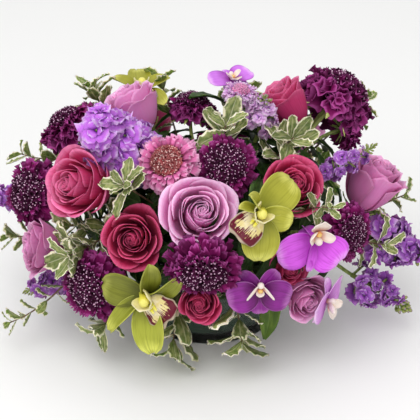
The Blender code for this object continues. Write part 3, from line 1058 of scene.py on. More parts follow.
def trumpet(rows: int, points: int, flare: float, lobes: int, ruffle: float) -> np.ndarray:
    """Makes the middle surface of a flared floret of length 1, along +X, larger below.

    Args:
        rows: Grid rows along it.
        points: Grid points round it; each row closes on itself.
        flare: How much wider its rim is than its tube.
        lobes: Number of lobes of its rim.
        ruffle: Depth of its lobes and waves.

    Returns:
        The grid, rows x points x 3.
    """
    v = np.linspace(0, 1, rows)[:, None]
    turn = np.linspace(-math.pi, math.pi, points, endpoint=False)[None, :]
    out = (0.06 + 0.12 * v + flare * v**2.5) * (1 + ruffle * v**2 * np.cos(lobes * turn + math.pi / 4))
    out = out * (1 + 0.4 * v**2 * np.cos(turn))
    along = v * (1 - 0.15 * v) + 0.5 * ruffle * v**3 * np.sin(lobes * turn + 0.9)
    return np.stack(np.broadcast_arrays(along, out * np.sin(turn), -out * np.cos(turn)), axis=2)


def swung(
    grid: np.ndarray, lift: float, turn: float, start: float = 0.0, height: float = 0.0, twist: float = 0.0
) -> np.ndarray:
    """Places a petal grid round an axis.

    Args:
        grid: The petal, along +X.
        lift: Degrees that its tip is raised.
        turn: Degrees that it is turned about Z.
        start: How far from the axis it starts.
        height: How high it starts.
        twist: Degrees that it is turned about its own length.

    Returns:
        The moved grid.
    """
    matrix = spin(turn, "Z") @ Matrix.Translation((start, 0, height)) @ spin(-lift, "Y") @ spin(twist, "X")
    return moved(grid.reshape(-1, 3), matrix).reshape(grid.shape)


def leaf(wavy: bool, variant: int) -> Growth:
    """Makes a leaf.

    Args:
        wavy: Whether its edge is wavy.
        variant: Which of the three leaves, each with an arch of its own.

    Returns:
        The growth.
    """
    ruffle, scallop = (0.05, 0.08) if wavy else (0.02, 0.0)
    arch = (0.5, 0.9, -0.3)[variant]
    grid = fan(12, 5, 0.23, (0.9, 0.66), 0.06, arch, ruffle, 3.8, scallop, phase=2.1 * variant)
    return Growth().sheet(grid, 0.02)


def ray() -> Growth:
    """Makes a narrow ruffled petal of a scabiosa."""
    return Growth().sheet(fan(6, 5, 0.22, (0.75, 0.22), 0.12, 0.5, 0.14, 1.9, phase=0.8), 0.035)


def floret() -> Growth:
    """Makes a scabiosa's flared outer floret."""
    return Growth().sheet(trumpet(4, 20, 0.26, 5, 0.2), 0.03, ring=True)


def cup() -> Growth:
    """Makes a scabiosa's small inner floret."""
    return Growth().sheet(trumpet(3, 10, 0.42, 5, 0.30), 0.08, ring=True)


def stamen() -> Growth:
    """Makes a pin with a pale head."""
    return Growth().turned([(0, 0), (0.035, 0.0), (0.03, 0.84), (0.13, 0.88), (0.13, 1.02), (0, 1.08)], 5)


def bud() -> Growth:
    """Makes a closed bud."""
    return Growth().turned([(0, 0), (0.22, 0.08), (0.36, 0.4), (0.3, 0.8), (0.14, 1.05), (0, 1.12)], 7)


def rosette() -> Growth:
    """Makes a stock's double floret."""
    growth = Growth()
    for ring, (count, size, lift) in enumerate(((5, 1.0, 2), (4, 0.8, 24), (3, 0.5, 52))):
        for k in range(count):
            grid = fan(5, 5, 0.54, (0.6, 0.28), cup=0.10, arch=0.7, ruffle=0.15, waves=1.2, phase=k * 1.7)
            lean = lift + 14 * math.sin(2.3 * k + ring)
            petal = swung(grid * size, lean, 360 / count * k + 31 * ring, 0.05)
            growth.sheet(petal, 0.03, tone=0.3 + 0.13 * k)
    return growth


class Shapes:
    """Small shapes that are made once and set out in many copies."""

    def __init__(self) -> None:
        """Starts with none."""
        self.known: dict[tuple, bpy.types.Object] = {}

    def of(self, make: Callable[..., Growth], finish: Dress, *given: object) -> bpy.types.Object:
        """Finds a shape, or makes it at the origin.

        Args:
            make: The function that grows it.
            finish: Its finish.
            *given: What that function is given.

        Returns:
            The shape's object.
        """
        key = (make, finish, *given)
        if key not in self.known:
            self.known[key] = make(*given).made(make.__name__, [finish.made()], toned=False)
        return self.known[key]

    def clear(self) -> None:
        """Removes every shape, once its copies are made."""
        for obj in self.known.values():
            bpy.data.objects.remove(obj)
        self.known.clear()


SHAPES = Shapes()


# ---- foam and stems


@dataclass(frozen=True)
class Foam:
    """The foam that holds every stem, as the CAD frame has it."""

    focus: Vector  # the middle of its round top
    hold: float = 50 * MM  # a stem's lower end is this near to the focus
    straight: float = 79 * MM  # a stem is straight until this far from the focus

    @classmethod
    @lru_cache(maxsize=None)
    def measured(cls) -> "Foam":
        """Reads the foam's round top from its box."""
        low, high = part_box("floral_foam")
        return cls(Vector((0, 0, high.z - (high.x - low.x) / 2)))

    def way(self, node: str) -> Vector:
        """Finds which way a stem leaves the foam.

        Args:
            node: Its CAD node.

        Returns:
            The unit vector from the focus.
        """
        points = node_points(node) - np.array(self.focus)
        near = points[np.linalg.norm(points, axis=1) < self.hold]
        return Vector(near.mean(axis=0)).normalized()

    def stem(self, node: str, end: Vector, axis: Vector) -> list[Vector]:
        """Lays a stem from inside the foam to its end.

        Args:
            node: Its CAD node.
            end: Its end.
            axis: The way that it points there.

        Returns:
            The line.
        """
        way = self.way(node)
        curve = bent_line(self.focus + way * self.straight, way, 0.35, end, axis)
        return [self.focus + way * self.hold, *curve]


def node_points(node: str) -> np.ndarray:
    """Reads the vertices of a CAD node, each one once."""
    points = read(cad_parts[node].data.vertices, "co", 3)
    return np.unique(np.round(points, 6), axis=0)


def bent_line(start: Vector, first: Vector, pull: float, end: Vector, last: Vector) -> list[Vector]:
    """Lays a line that bends from one way to another.

    Args:
        start: Its start.
        first: The way that it sets off.
        pull: How long it keeps that way, as a share of its reach.
        end: Its end.
        last: The way that it points there.

    Returns:
        The line.
    """
    reach = (end - start).length
    controls = (start, start + first * reach * pull, end - last * reach * 0.4, end)
    return [Vector(point) for point in bezier(controls, np.linspace(0, 1, STEM_POINTS))]


# ---- blooms


@dataclass
class Bloom:
    """A cut flower: its head faces one way, and its stem goes back into the foam."""

    node: str
    azimuth: float
    elevation: float
    cad_radius: float
    roll: float = 0.0
    length: float = 1.0
    fullness: float = 1.2  # how far the petals stand outside the plain CAD head
    seen_length: float = 0.0  # the full head's own length, where it differs
    tilt: float = 0.0  # degrees that the full head looks higher than the plain one
    swing: float = 0.0  # degrees that the full head is turned to the right of the plain one
    shift: tuple[float, float] = (0.0, 0.0)  # millimetres that it stands right of and above the plain one
    # Dark leaves along the stem; many of them, partly to fill the gaps between heads with dark shade.
    leaves: int = 11

    front: ClassVar[float] = 0.5  # from the head's middle to its front, in radii
    base: ClassVar[float] = 0.5  # from the head's middle back to the stem, in radii
    aside: ClassVar[float] = 0.0  # how far the head's middle is above the middle of its box, in radii
    stem: ClassVar[float] = 2.0 * MM
    leaf_length: ClassVar[float] = 40 * MM
    greens: ClassVar[tuple[Dress, ...]] = (Dress.STEM, Dress.GREEN)  # the slots after the petals'

    def __post_init__(self) -> None:
        """Starts its mesh, its own seed and its random numbers."""
        self.growth, self.seed = Growth(), own_number(self.node, 3)
        self.rng = np.random.default_rng(self.seed)

    @property
    def radius(self) -> float:
        """The head's radius with its full petals."""
        return self.cad_radius * MM * self.fullness

    @property
    def tall(self) -> float:
        """The full head's length."""
        return self.seen_length or self.length

    @property
    def axis(self) -> Vector:
        """The way the full head faces."""
        return heading(self.azimuth + self.swing, self.elevation + self.tilt)

    def measured(self) -> Matrix:
        """Finds where the head is from the CAD node's vertices.

        Returns:
            The turn and place of the head.
        """
        turn = facing(heading(self.azimuth, self.elevation), self.roll)
        points = node_points(self.node) @ np.array(turn)[:3, :3]
        scale = self.cad_radius * MM
        middle = points[:, 2].max() - self.front * scale * self.length
        head = points[points[:, 2] > middle - 0.12 * scale]
        x, y = (head[:, :2].min(axis=0) + head[:, :2].max(axis=0)) / 2
        place = turn @ Vector((x, y + self.aside * scale, middle))
        place += Vector((self.shift[0], 0, self.shift[1])) * MM
        return Matrix.Translation(place) @ facing(self.axis, self.roll)

    def head(self) -> None:
        """Grows the head, one radius in size."""
        raise NotImplementedError

    def finishes(self) -> list[Dress]:
        """Gives the finishes of the material slots; the last two are the stem's and the leaves'."""
        return [self.dress, *self.greens]

    def build(self) -> bpy.types.Object:
        """Makes the piece: head, stem and leaves.

        Returns:
            The piece, riding on the frame.
        """
        dress = self.finishes()
        self.head()
        place = self.measured()
        self.growth.place(place @ Matrix.Diagonal((*[self.radius] * 3, 1)))
        end = place.translation - self.axis * self.base * self.radius * self.tall
        line = Foam.measured().stem(self.node, end, self.axis)
        stalks = Stalks()
        stalks.run(line, self.stem, self.stem * 0.8)
        self.growth.take(stalks.mesh(dress[-2].made()), len(dress) - 2)
        self.leave(line, len(dress) - 1)
        obj = self.growth.made(f"{self.node}_bloom", [finish.made() for finish in dress])
        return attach(obj, BODY)

    def leave(self, line: list[Vector], slot: int) -> None:
        """Adds green leaves along the stem.

        Args:
            line: The stem's line.
            slot: Their material slot.
        """
        random = self.rng.random
        scatter = Scatter(SHAPES.of(leaf, Dress.GREEN, False, 1), self.seed % 1000)
        for k in range(self.leaves):
            at = (0.12 + 0.68 * k / self.leaves) * (len(line) - 1)
            low, high = line[int(at)], line[int(at) + 1]
            side = facing((high - low).normalized(), math.degrees(k * GOLDEN_ANGLE) + 40 * random())
            lean = spin(-(8 + 24 * random()), "Y")
            scatter.put(low.lerp(high, at % 1), side @ lean, self.leaf_length * (0.8 + 0.4 * random()))
        self.growth.take(scatter.mesh(), slot)


@dataclass
class Rose(Bloom):
    """A rose of many petals that wind round its heart."""

    petals: int = 30
    crowding: float = 1.2  # above 1, more of the petals are close to the heart
    openness: float = 1.0
    frill: float = 0.0
    heart: tuple[float, float] = (0.0, 0.0)  # how far the heart is off the middle, in radii
    dress: Dress = Dress.WINE

    front: ClassVar[float] = 0.62
    base: ClassVar[float] = 0.80
    stem: ClassVar[float] = 2.6 * MM

    # Sections of the petals from the heart to the guard petals: four controls each.
    rings: ClassVar[Sequence] = (0.0, 0.3, 0.55, 0.8, 1.0)
    widths: ClassVar[Sequence] = (
        (0.02, 0.04, 0.06, 0.08, 0.08),
        (0.16, 0.40, 0.58, 0.74, 0.80),
        (0.10, 0.22, 0.42, 0.64, 0.82),
        (0.03, 0.18, 0.44, 0.80, 1.06),
    )
    heights: ClassVar[Sequence] = (
        (-0.40, -0.55, -0.64, -0.70, -0.74),
        (-0.20, -0.40, -0.50, -0.55, -0.60),
        (0.35, 0.42, 0.42, 0.34, 0.20),
        (0.58, 0.62, 0.60, 0.50, 0.28),
    )

    def petal(self, ring: float, angle: float) -> np.ndarray:
        """Makes one petal's middle surface.

        Args:
            ring: 0 for the heart to 1 for the guard petals.
            angle: Where it stands round the heart.

        Returns:
            The grid.
        """
        v = np.linspace(0, 1, 11)[:, None]
        u = np.linspace(-1, 1, 11)[None, :]
        drop = 0.06 + 0.26 * ring
        reach = v * (1 - drop * (0.75 * np.abs(u) ** 2.6 + 0.25 * np.abs(u)))
        size = 1 + 0.05 * (self.rng.random() - 0.5)
        out, rise = (
            bezier([np.interp(ring, self.rings, row) for row in rows], reach) * size
            for rows in (self.widths, self.heights)
        )
        swirl = np.interp(ring, (0, 0.25, 1), (0.55, 0.22, 0.05))
        out = out * (1 + swirl * u * reach)
        roll = np.interp(ring, (0, 0.4, 1), (0.0, 0.03, 0.13))
        fold = np.clip((reach - 0.72) / 0.28, 0, 1) ** 2
        out = out + roll * (0.35 + np.abs(u) ** 2) * fold
        rise = rise - roll * (0.30 + 0.8 * np.abs(u) ** 2) * fold
        phase = 6.3 * self.rng.random()
        wave = (0.012 + 0.028 * ring) * reach**4
        frill = self.frill * reach**5 * ring
        rise = rise + wave * np.sin(3.1 * u + phase) + frill * np.sin(8.3 * u + 2 * phase)
        out = out + wave * np.sin(4.7 * u + 1.7 * phase) + frill * np.sin(10.1 * u + phase)
        half = math.radians(np.interp(ring, (0, 0.25, 0.6, 1), (125, 80, 62, 54)))
        turn = angle + u * half * (0.7 + 0.3 * reach)
        shift = (1 - ring) * reach
        x, y = out * np.cos(turn) + self.heart[0] * shift, out * np.sin(turn) + self.heart[1] * shift
        return np.stack([x, y, rise * self.tall], axis=2)

    def head(self) -> None:
        """Grows the petals, the hip and the sepals, one radius in size."""
        for i in range(self.petals):
            ring = (i / (self.petals - 1)) ** self.crowding * self.openness
            grid = self.petal(ring, i * GOLDEN_ANGLE)
            self.growth.sheet(grid, 0.5 * MM / self.radius, 0, self.rng.random())
        low = -0.74 * self.tall
        hip = [(0, low - 0.16), (0.09, low - 0.15), (0.15, low - 0.05), (0.13, low + 0.06), (0, low + 0.08)]
        self.growth.turned(hip, 10, 1)
        for k in range(5):
            sepal = fan(7, 5, 0.10, (0.5, 0.9), cup=0.02, arch=0.9 - 2.0 * (k % 2), ruffle=0.02)
            self.growth.sheet(swung(sepal * 0.62, 28 - 30 * (k % 2), 72 * k, 0.08, low), 0.02, 1)


@dataclass
class Scabiosa(Bloom):
    """A scabiosa: rings of ruffled florets round a dome of small ones with pale stamens."""

    dress: tuple[Dress, Dress, Dress] = (Dress.PLUM, Dress.PLUM_DOME, Dress.PLUM_STAMEN)
    dome: float = 0.54
    depth: float = 1.0
    flared: int = 0  # how many of the outer rings have flared florets

    front: ClassVar[float] = 0.40
    base: ClassVar[float] = 0.34
    stem: ClassVar[float] = 2.2 * MM
    cups: ClassVar[int] = 76
    stamens: ClassVar[int] = 210

    # Count, start from the axis, length, lift and height of each ring of outer florets.
    rings: ClassVar[Sequence] = (
        (20, 0.34, 0.60, -20, -0.14),
        (22, 0.36, 0.60, -4, -0.09),
        (22, 0.38, 0.54, 12, -0.05),
        (22, 0.42, 0.44, 30, -0.01),
        (20, 0.46, 0.30, 50, 0.03),
    )

    def head(self) -> None:
        """Grows the florets and stamens, one radius in size."""
        growth, random = self.growth, self.rng.random
        rays = Scatter(SHAPES.of(ray, self.dress[0]), self.seed % 997)
        florets = Scatter(SHAPES.of(floret, self.dress[0]), self.seed % 967)
        for ring, (count, start, size, lift, height) in enumerate(self.rings):
            lot, count, more, share = (florets, 16, 8, 0.8) if ring < self.flared else (rays, count, 0, 1)
            for k in range(count):
                turn = 2 * math.pi * (k + 0.5 * ring) / count + 0.2 * (random() - 0.5)
                tilt = math.radians(lift + more + 26 * (random() - 0.5))
                twist = math.radians(70 * (random() - 0.5))
                place = around(start, turn, height * self.depth)
                lot.put(place, (twist, -tilt, turn), size * (0.8 + 0.35 * random()) * share)
        growth.take(rays.mesh(), 0)
        if self.flared:
            growth.take(florets.mesh(), 0)
        wide, high = self.dome, 0.26 * self.depth
        core = [(0, -0.30), (0.30, -0.16), (wide, -0.02), (0.8 * wide, 0.6 * high), (0.4 * wide, 0.94 * high)]
        growth.turned([*core, (0, high)], 14, 1)
        cups = Scatter(SHAPES.of(cup, self.dress[1]), self.seed % 991)
        pins = Scatter(SHAPES.of(stamen, self.dress[2]), self.seed % 983)
        # A cup lies along +X and a pin stands along +Z before it is turned; only pins stand unevenly.
        for lot, count, size, rest, loose in (
            (cups, self.cups, 0.15, -math.pi / 2, False),
            (pins, self.stamens, 0.128, 0.0, True),
        ):
            for k in range(count):
                share = math.sqrt((k + 0.5) / count)
                turn = k * GOLDEN_ANGLE + (0.5 * random() if loose else 0)
                lean = 1.2 * share + (0.5 * (random() - 0.5) if loose else 0)
                place = around(wide * share, turn, high * math.sqrt(1 - 0.98 * share**2) - 0.01)
                lot.put(place, (0.0, rest + lean, turn), size * (0.75 + 0.5 * random()))
        growth.take(cups.mesh(), 1)
        growth.take(pins.mesh(), 2)
        bract = fan(5, 3, 0.09, (0.5, 0.8), arch=0.6) * (0.9 if self.flared else 0.55)
        for k in range(8):
            growth.sheet(swung(bract, -14, 45 * k, 0.06, -0.26), 0.02, 3)

    def finishes(self) -> list[Dress]:
        """Gives the florets', stamens', stem's and leaves' finishes."""
        # Flared heads take the stem finish with painted light.
        return [*self.dress, Dress.YOUNG_STEM if self.flared else Dress.STEM, Dress.GREEN]


@dataclass
class Stock(Bloom):
    """A stock: a spike of double florets with buds at its tip."""

    florets: int = 24
    floret: float = 0.42
    looseness: float = 1.0
    buds: int = 14
    dress: Dress = Dress.STOCK_DEEP
    leaves: int = 4

    front: ClassVar[float] = 1.0
    base: ClassVar[float] = 0.9
    stem: ClassVar[float] = 2.4 * MM
    greens: ClassVar[tuple[Dress, ...]] = (Dress.BUD, Dress.STEM, Dress.GREEN)

    def head(self) -> None:
        """Grows the florets and buds on their stalks, one radius in size."""
        growth, random = self.growth, self.rng.random
        tall, loose = self.tall, self.looseness
        flowers = Scatter(SHAPES.of(rosette, self.dress), self.seed % 977)
        buds = Scatter(SHAPES.of(bud, Dress.BUD), self.seed % 971)
        stalks = Stalks(sides=4)
        for k in range(self.florets):
            share = k / (self.florets - 1)
            height = (-0.80 + 1.38 * share) * tall
            out = (0.60 - 0.38 * share**1.6) * (1 + 0.5 * loose * (random() - 0.5))
            turn = k * GOLDEN_ANGLE + 0.5 * (random() - 0.5)
            lean = math.radians(84 - 56 * share**1.4 + 40 * loose * (random() - 0.5))
            place = around(out, turn, height)
            stalks.run([(0, 0, height - 0.2), place], 0.05, 0.05)
            size = self.floret * (1 - 0.25 * share) * (0.8 + 0.4 * random())
            flowers.put(place, (0.6 * loose * (random() - 0.5), lean, turn), size)
        for k in range(self.buds):
            share = k / self.buds
            turn = k * GOLDEN_ANGLE
            place = around(0.24 * (1 - share), turn, (0.62 + 0.40 * share) * tall)
            stalks.run([(0, 0, place[2] - 0.1), place], 0.03, 0.03)
            buds.put(place, (0.0, 1.0 * (1 - share), turn), 0.20 - 0.08 * share)
        growth.take(flowers.mesh(), 0)
        growth.take(buds.mesh(), 1)
        growth.take(stalks.mesh(Dress.STEM.made()), 2)
        top = 0.95 * tall if self.buds else 0.4 * tall
        growth.turned([(0, -tall), (0.09, -tall), (0.05, top), (0, top + 0.05)], 7, 2)


@dataclass(frozen=True)
class Tepal:
    """One petal or sepal of an orchid."""

    angle: float  # degrees from the right, as the flower stands
    length: float  # in radii
    width: float  # half its width, in lengths
    lift: float = 8.0  # degrees that it leans forward
    twist: float = 0.0  # degrees that it is turned about its own length
    arch: float = 0.4
    # A set tone paints light or shade on that tepal: above 0.5 it is painted lit, below it painted in shade.
    tone: float = 0.0  # how bright it is, where 0.5 is plain; 0 leaves that to chance


@dataclass
class Orchid(Bloom):
    """An orchid: three sepals and two petals round a lip and a column."""

    tepals: tuple[Tepal, ...] = ()
    lip: float = -90.0  # degrees from the right, as the flower stands
    leaves: int = 9

    front: ClassVar[float] = 0.44
    base: ClassVar[float] = 0.04
    aside: ClassVar[float] = -0.095

    def unfold(self, fullness: tuple[float, float], cup: float, ruffle: float) -> None:
        """Adds the petals and sepals.

        Args:
            fullness: Powers of their outline at the base and the tip.
            cup: How far their sides turn up.
            ruffle: Height of the waves at their edges.
        """
        for part in self.tepals:
            phase = 6.3 * self.rng.random()
            shape = fan(11, 9, part.width, fullness, cup, part.arch, ruffle, 1.6, phase=phase)
            placed = swung(shape * part.length, part.lift, part.angle - self.roll, 0.03, 0.0, part.twist)
            # A tepal's set tone, where it has one, is painted light or shade.
            self.growth.sheet(placed, 0.035, 0, part.tone or 0.3 + 0.5 * self.rng.random())


@dataclass
class Cymbidium(Orchid):
    """A cymbidium with waxy green tepals and a large cream lip, dark along its edge."""

    tepals: tuple[Tepal, ...] = (
        Tepal(90, 1.0, 0.36, 22),
        Tepal(18, 0.96, 0.27, 26),
        Tepal(162, 0.96, 0.27, 34),
        Tepal(234, 0.98, 0.36),
        Tepal(306, 0.98, 0.34),
    )
    dress: Dress = Dress.LIME

    greens: ClassVar[tuple[Dress, ...]] = (Dress.LIP, Dress.COLUMN, Dress.LOBE, Dress.STEM, Dress.GREEN)

    def head(self) -> None:
        """Grows the tepals, the lip and the column, one radius in size."""
        growth = self.growth
        self.unfold((0.6, 0.5), 0.12, 0.02)
        middle = fan(11, 13, 0.50, (0.42, 0.20), cup=-0.12, arch=1.0, ruffle=0.09, waves=2.4)
        side = fan(8, 7, 0.56, (0.5, 0.35), cup=0.24, arch=-0.8, ruffle=0.03)
        toward = self.lip - self.roll
        growth.sheet(swung(middle * 0.82, 34, toward, 0.04, 0.14), 0.03, 1)
        for aside in (-54, 54):
            growth.sheet(swung(side * 0.48, 44, toward + aside, 0.04, 0.06), 0.03, 3)
        turned = spin(toward, "Z")
        ridge = [(0, 0), (0.035, 0.02), (0.045, 0.14), (0.03, 0.26), (0, 0.28)]
        for aside in (-0.05, 0.05):
            spot = turned @ Matrix.Translation((0.16, aside, 0.26))
            growth.turned(ridge, 7, 2, spot @ Matrix.Rotation(1.0, 4, "Y"))
        column = [(0, 0), (0.11, 0.02), (0.105, 0.18), (0.13, 0.32), (0.11, 0.42), (0, 0.47)]
        spot = turned @ Matrix.Translation((-0.08, 0, 0.04))
        growth.turned(column, 9, 2, spot @ Matrix.Rotation(0.35, 4, "Y"))


@dataclass
class Phalaenopsis(Orchid):
    """A moth orchid with two broad petals and a pale lip."""

    tepals: tuple[Tepal, ...] = (
        Tepal(90, 0.86, 0.30, 0),
        Tepal(232, 0.86, 0.30, 0),
        Tepal(308, 0.86, 0.30, 0),
        Tepal(8, 1.06, 0.54, 14),
        Tepal(172, 1.06, 0.54, 14),
    )
    dress: Dress = Dress.ORCHID
    lip_start: float = 0.06  # from the middle of the flower, along the lip, in radii
    horns: float = 0.0  # how far the side lobes are swept along the lip

    greens: ClassVar[tuple[Dress, ...]] = (
        Dress.WHITE_LIP, Dress.WHITE_LIP, Dress.THROAT, Dress.STEM, Dress.GREEN,
    )

    def head(self) -> None:
        """Grows the tepals, the lip and the column, one radius in size."""
        self.unfold((0.46, 0.40), 0.05, 0.012)
        horns = self.horns
        lip = Growth()
        for way in (-1, 1):
            side = fan(10, 7, 0.34 + 0.22 * horns, (0.5, 0.4), cup=0.20, arch=-0.8, sweep=-1.6 * horns * way)
            lip.sheet(swung(side * (0.52 - 0.22 * horns), 26, (76 + 44 * horns) * way, 0.03, 0.04), 0.03, 1)
        middle = fan(8, 7, 0.46, (0.7, 0.4), cup=0.18, arch=-0.6, ruffle=0.03)
        lip.sheet(swung(middle * (0.58 - 0.3 * horns), 16, 0, 0.06, 0.02), 0.03, 1)
        throat = [(0, 0), (0.07, 0.02), (0.09, 0.08), (0.05, 0.14), (0, 0.15)]
        lip.turned(throat, 9, 3, Matrix.Translation((0.08, 0, 0.08)))
        column = [(0, 0), (0.09, 0.02), (0.08, 0.14), (0.11, 0.24), (0.07, 0.32), (0, 0.34)]
        lip.turned(column, 9, 2, Matrix.Translation((-0.04, 0, -0.04)) @ Matrix.Rotation(-0.35, 4, "Y"))
        lip.place(spin(self.lip - self.roll, "Z") @ Matrix.Translation((self.lip_start, 0, 0.06)))
        self.growth.lots += lip.lots


# ---- leafy sprigs


@dataclass
class Shoot:
    """The leafy end of a twig."""

    place: Point  # its tip, in millimetres
    azimuth: float
    elevation: float
    leaves: int
    leaf: float
    leafy: float = 34.0


@dataclass
class Sprig:
    """A sprig of pittosporum, of one twig or several."""

    node: str
    shoots: tuple[Shoot, ...]

    def build(self) -> bpy.types.Object:
        """Makes the piece: twigs and leaves.

        Returns:
            The piece, riding on the frame.
        """
        seed = own_number(self.node, 5)
        rng = np.random.default_rng(seed)
        twigs = Stalks(sides=6)
        lots = [Scatter(SHAPES.of(leaf, Dress.VARIEGATED, True, k), seed + k) for k in range(3)]
        trunk: list[Vector] = []
        for shoot in self.shoots:
            axis, tip = heading(shoot.azimuth, shoot.elevation), Vector(shoot.place) * MM
            if trunk:
                line = bent_line(trunk[4], (trunk[5] - trunk[3]).normalized(), 0.3, tip, axis)
            else:
                line = trunk = Foam.measured().stem(self.node, tip, axis)
            twigs.run(line, 1.5 * MM, 0.6 * MM)
            self.leave(lots, line, shoot, rng)
        growth = Growth()
        for lot in lots:
            growth.take(lot.mesh(), 0)
        growth.take(twigs.mesh(Dress.TWIG.made()), 1)
        obj = growth.made(f"{self.node}_sprig", [Dress.VARIEGATED.made(), Dress.TWIG.made()])
        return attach(obj, BODY)

    def leave(self, lots: list[Scatter], line: list[Vector], shoot: Shoot, rng: np.random.Generator) -> None:
        """Sets the leaves of one shoot, close together at its tip and sparse below.

        Args:
            lots: The leaves' scatters, one for each shape of leaf.
            line: The twig's line.
            shoot: The shoot.
            rng: The sprig's own random numbers.
        """
        steps = [0.0]
        for low, high in zip(line, line[1:]):
            steps.append(steps[-1] + (high - low).length)
        count = shoot.leaves + 7
        for k in range(count):
            back = (1 + 1.4 * shoot.leafy * (k / (count - 1)) ** 1.3) * MM
            at = float(np.interp(steps[-1] - back, steps, range(len(steps))))
            i = min(int(at), len(line) - 2)
            along = (line[i + 1] - line[i]).normalized()
            side = facing(along, math.degrees(k * GOLDEN_ANGLE) + 30 * rng.random())
            lean = spin(-(46 - 26 * k / (count - 1) + 14 * (rng.random() - 0.5)), "Y")
            roll = spin(40 * (rng.random() - 0.5), "X")
            size = shoot.leaf * MM * (0.85 + 0.4 * rng.random()) * (1.05 if k > 2 else 0.8)
            lots[k % 3].put(line[i].lerp(line[i + 1], at - i), side @ lean @ roll, size)


# ---- vase, lining and blade leaf


@dataclass
class Vase:
    """The straight glass vase."""

    node: str = "glass_vase"
    wall: float = 3 * MM
    base: float = 10 * MM
    edge: float = 1.4 * MM
    sides: int = 96

    def build(self) -> bpy.types.Object:
        """Makes the glass from the box of its CAD node.

        Returns:
            The piece, riding on the frame.
        """
        low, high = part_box(self.node)
        radius, height = (high.x - low.x) / 2, high.z - low.z
        inner = radius - self.wall
        angles = np.linspace(0, math.pi / 2, 6)

        def corner(x: float, z: float, up: float, edge: float) -> list[tuple[float, float]]:
            """Rounds one corner of the section."""
            return [(x - edge * (1 - math.sin(a)), z + up * edge * (1 - math.cos(a))) for a in angles]

        foot = corner(radius, 0, 1, self.edge)
        rim = corner(radius, height, -1, self.edge)[::-1]
        lip = [(2 * radius - self.wall - x, z) for x, z in rim][::-1]
        hollow = corner(inner, self.base, 1, 2 * self.edge)[::-1]
        floor = [(0.5 * inner, self.base), (0, self.base)]
        growth = Growth().turned([(0, 0), (0.5 * radius, 0), *foot, *rim, *lip, *hollow, *floor], self.sides)
        obj = growth.made("vase_glass", [self.glass()])
        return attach(obj, BODY)

    def glass(self) -> bpy.types.Material:
        """Makes clear glass with faint smears."""
        graph = Paint("clear_glass")
        smear = graph.times(graph.step(graph.noise(graph.place(), 30.0), 0.5, 0.8), 0.08)
        glass = {"Base Color": linear((240, 248, 244)), "Transmission Weight": 1.0, "IOR": 1.45}
        return graph.finished({**glass, "Roughness": smear})


@dataclass
class Lining:
    """The dark leaf that lines the vase."""

    node: str = "lining_leaf"
    thickness: float = 0.6 * MM
    gap: float = 1.35 * MM
    ribs: int = 46
    rib_height: float = 0.16 * MM
    overlap: float = 14.0  # degrees
    spiral: float = 0.9 * MM  # how much wider its outer end is than its inner one
    sag: float = 1.0 * MM  # half the depth of the waves in its upper edge

    def build(self) -> bpy.types.Object:
        """Makes the ribbed band from the box of its CAD node.

        Returns:
            The piece, riding on the frame.
        """
        low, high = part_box(self.node)
        turn = np.radians(np.linspace(90 - self.overlap / 2, 450 + self.overlap / 2, 421))[None, :]
        share = np.linspace(0, 1, 12)[:, None]
        rib = self.rib_height * np.cos(self.ribs * turn)
        spiral = self.spiral * (turn - turn.min()) / np.ptp(turn)
        out = (high.x - low.x) / 2 - self.gap + rib + spiral
        top = high.z - self.sag * (1 + np.sin(5 * turn)) * share**6
        z = low.z + (top - low.z) * share
        grid = np.stack(np.broadcast_arrays(out * np.cos(turn), out * np.sin(turn), z), axis=2)
        growth = Growth().sheet(grid[:, ::-1], self.thickness)
        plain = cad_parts[self.node].data.materials[0]  # the plain colour of its CAD node
        obj = growth.made("lining_dark_leaf", [plain])
        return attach(obj, BODY)


@dataclass
class BladeLeaf:
    """The broad dark leaf that hangs over the front of the vase."""

    node: str = "blade_leaf_front"
    line: tuple[Point, ...] = ((42, -74, 102), (54, -98, 98), (60, -110, 76), (58, -116, 54), (54, -116, 34))
    widths: tuple[float, ...] = (2.0, 7.0, 12.0, 10.0, 1.0)
    thickness: float = 0.7 * MM

    def build(self) -> bpy.types.Object:
        """Makes the leaf along its line, from the same points as its CAD node.

        Returns:
            The piece, riding on the frame.
        """
        share = np.linspace(0, 1, 18)
        smooth = np.stack([self.eased(values, share) for values in zip(*self.line)], axis=1)
        width = self.eased(self.widths, share)
        along = np.gradient(smooth, axis=0)
        side = np.cross(along, (0, -1, 0.3))
        side /= np.linalg.norm(side, axis=1, keepdims=True)
        face = np.cross(side, along)
        face /= np.linalg.norm(face, axis=1, keepdims=True)
        u = np.linspace(-1, 1, 11)
        fold = np.abs(u) ** 1.5 * 0.22
        grid = smooth[:, None] + side[:, None] * (width[:, None] * u)[..., None] * 0.9
        grid = grid + face[:, None] * (width[:, None] * fold)[..., None]
        obj = Growth().sheet(grid * MM, self.thickness).made("blade_leaf", [Dress.BLADE.made()])
        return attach(obj, BODY)

    @staticmethod
    def eased(values: Sequence[float], share: np.ndarray) -> np.ndarray:
        """Reads values along a line, smoothed over a tenth of it."""
        keys, shifts = np.linspace(0, 1, len(values)), (-0.07, -0.03, 0, 0.03, 0.07)
        return np.mean([np.interp(share + shift, keys, values) for shift in shifts], axis=0)


# ---- the arrangement


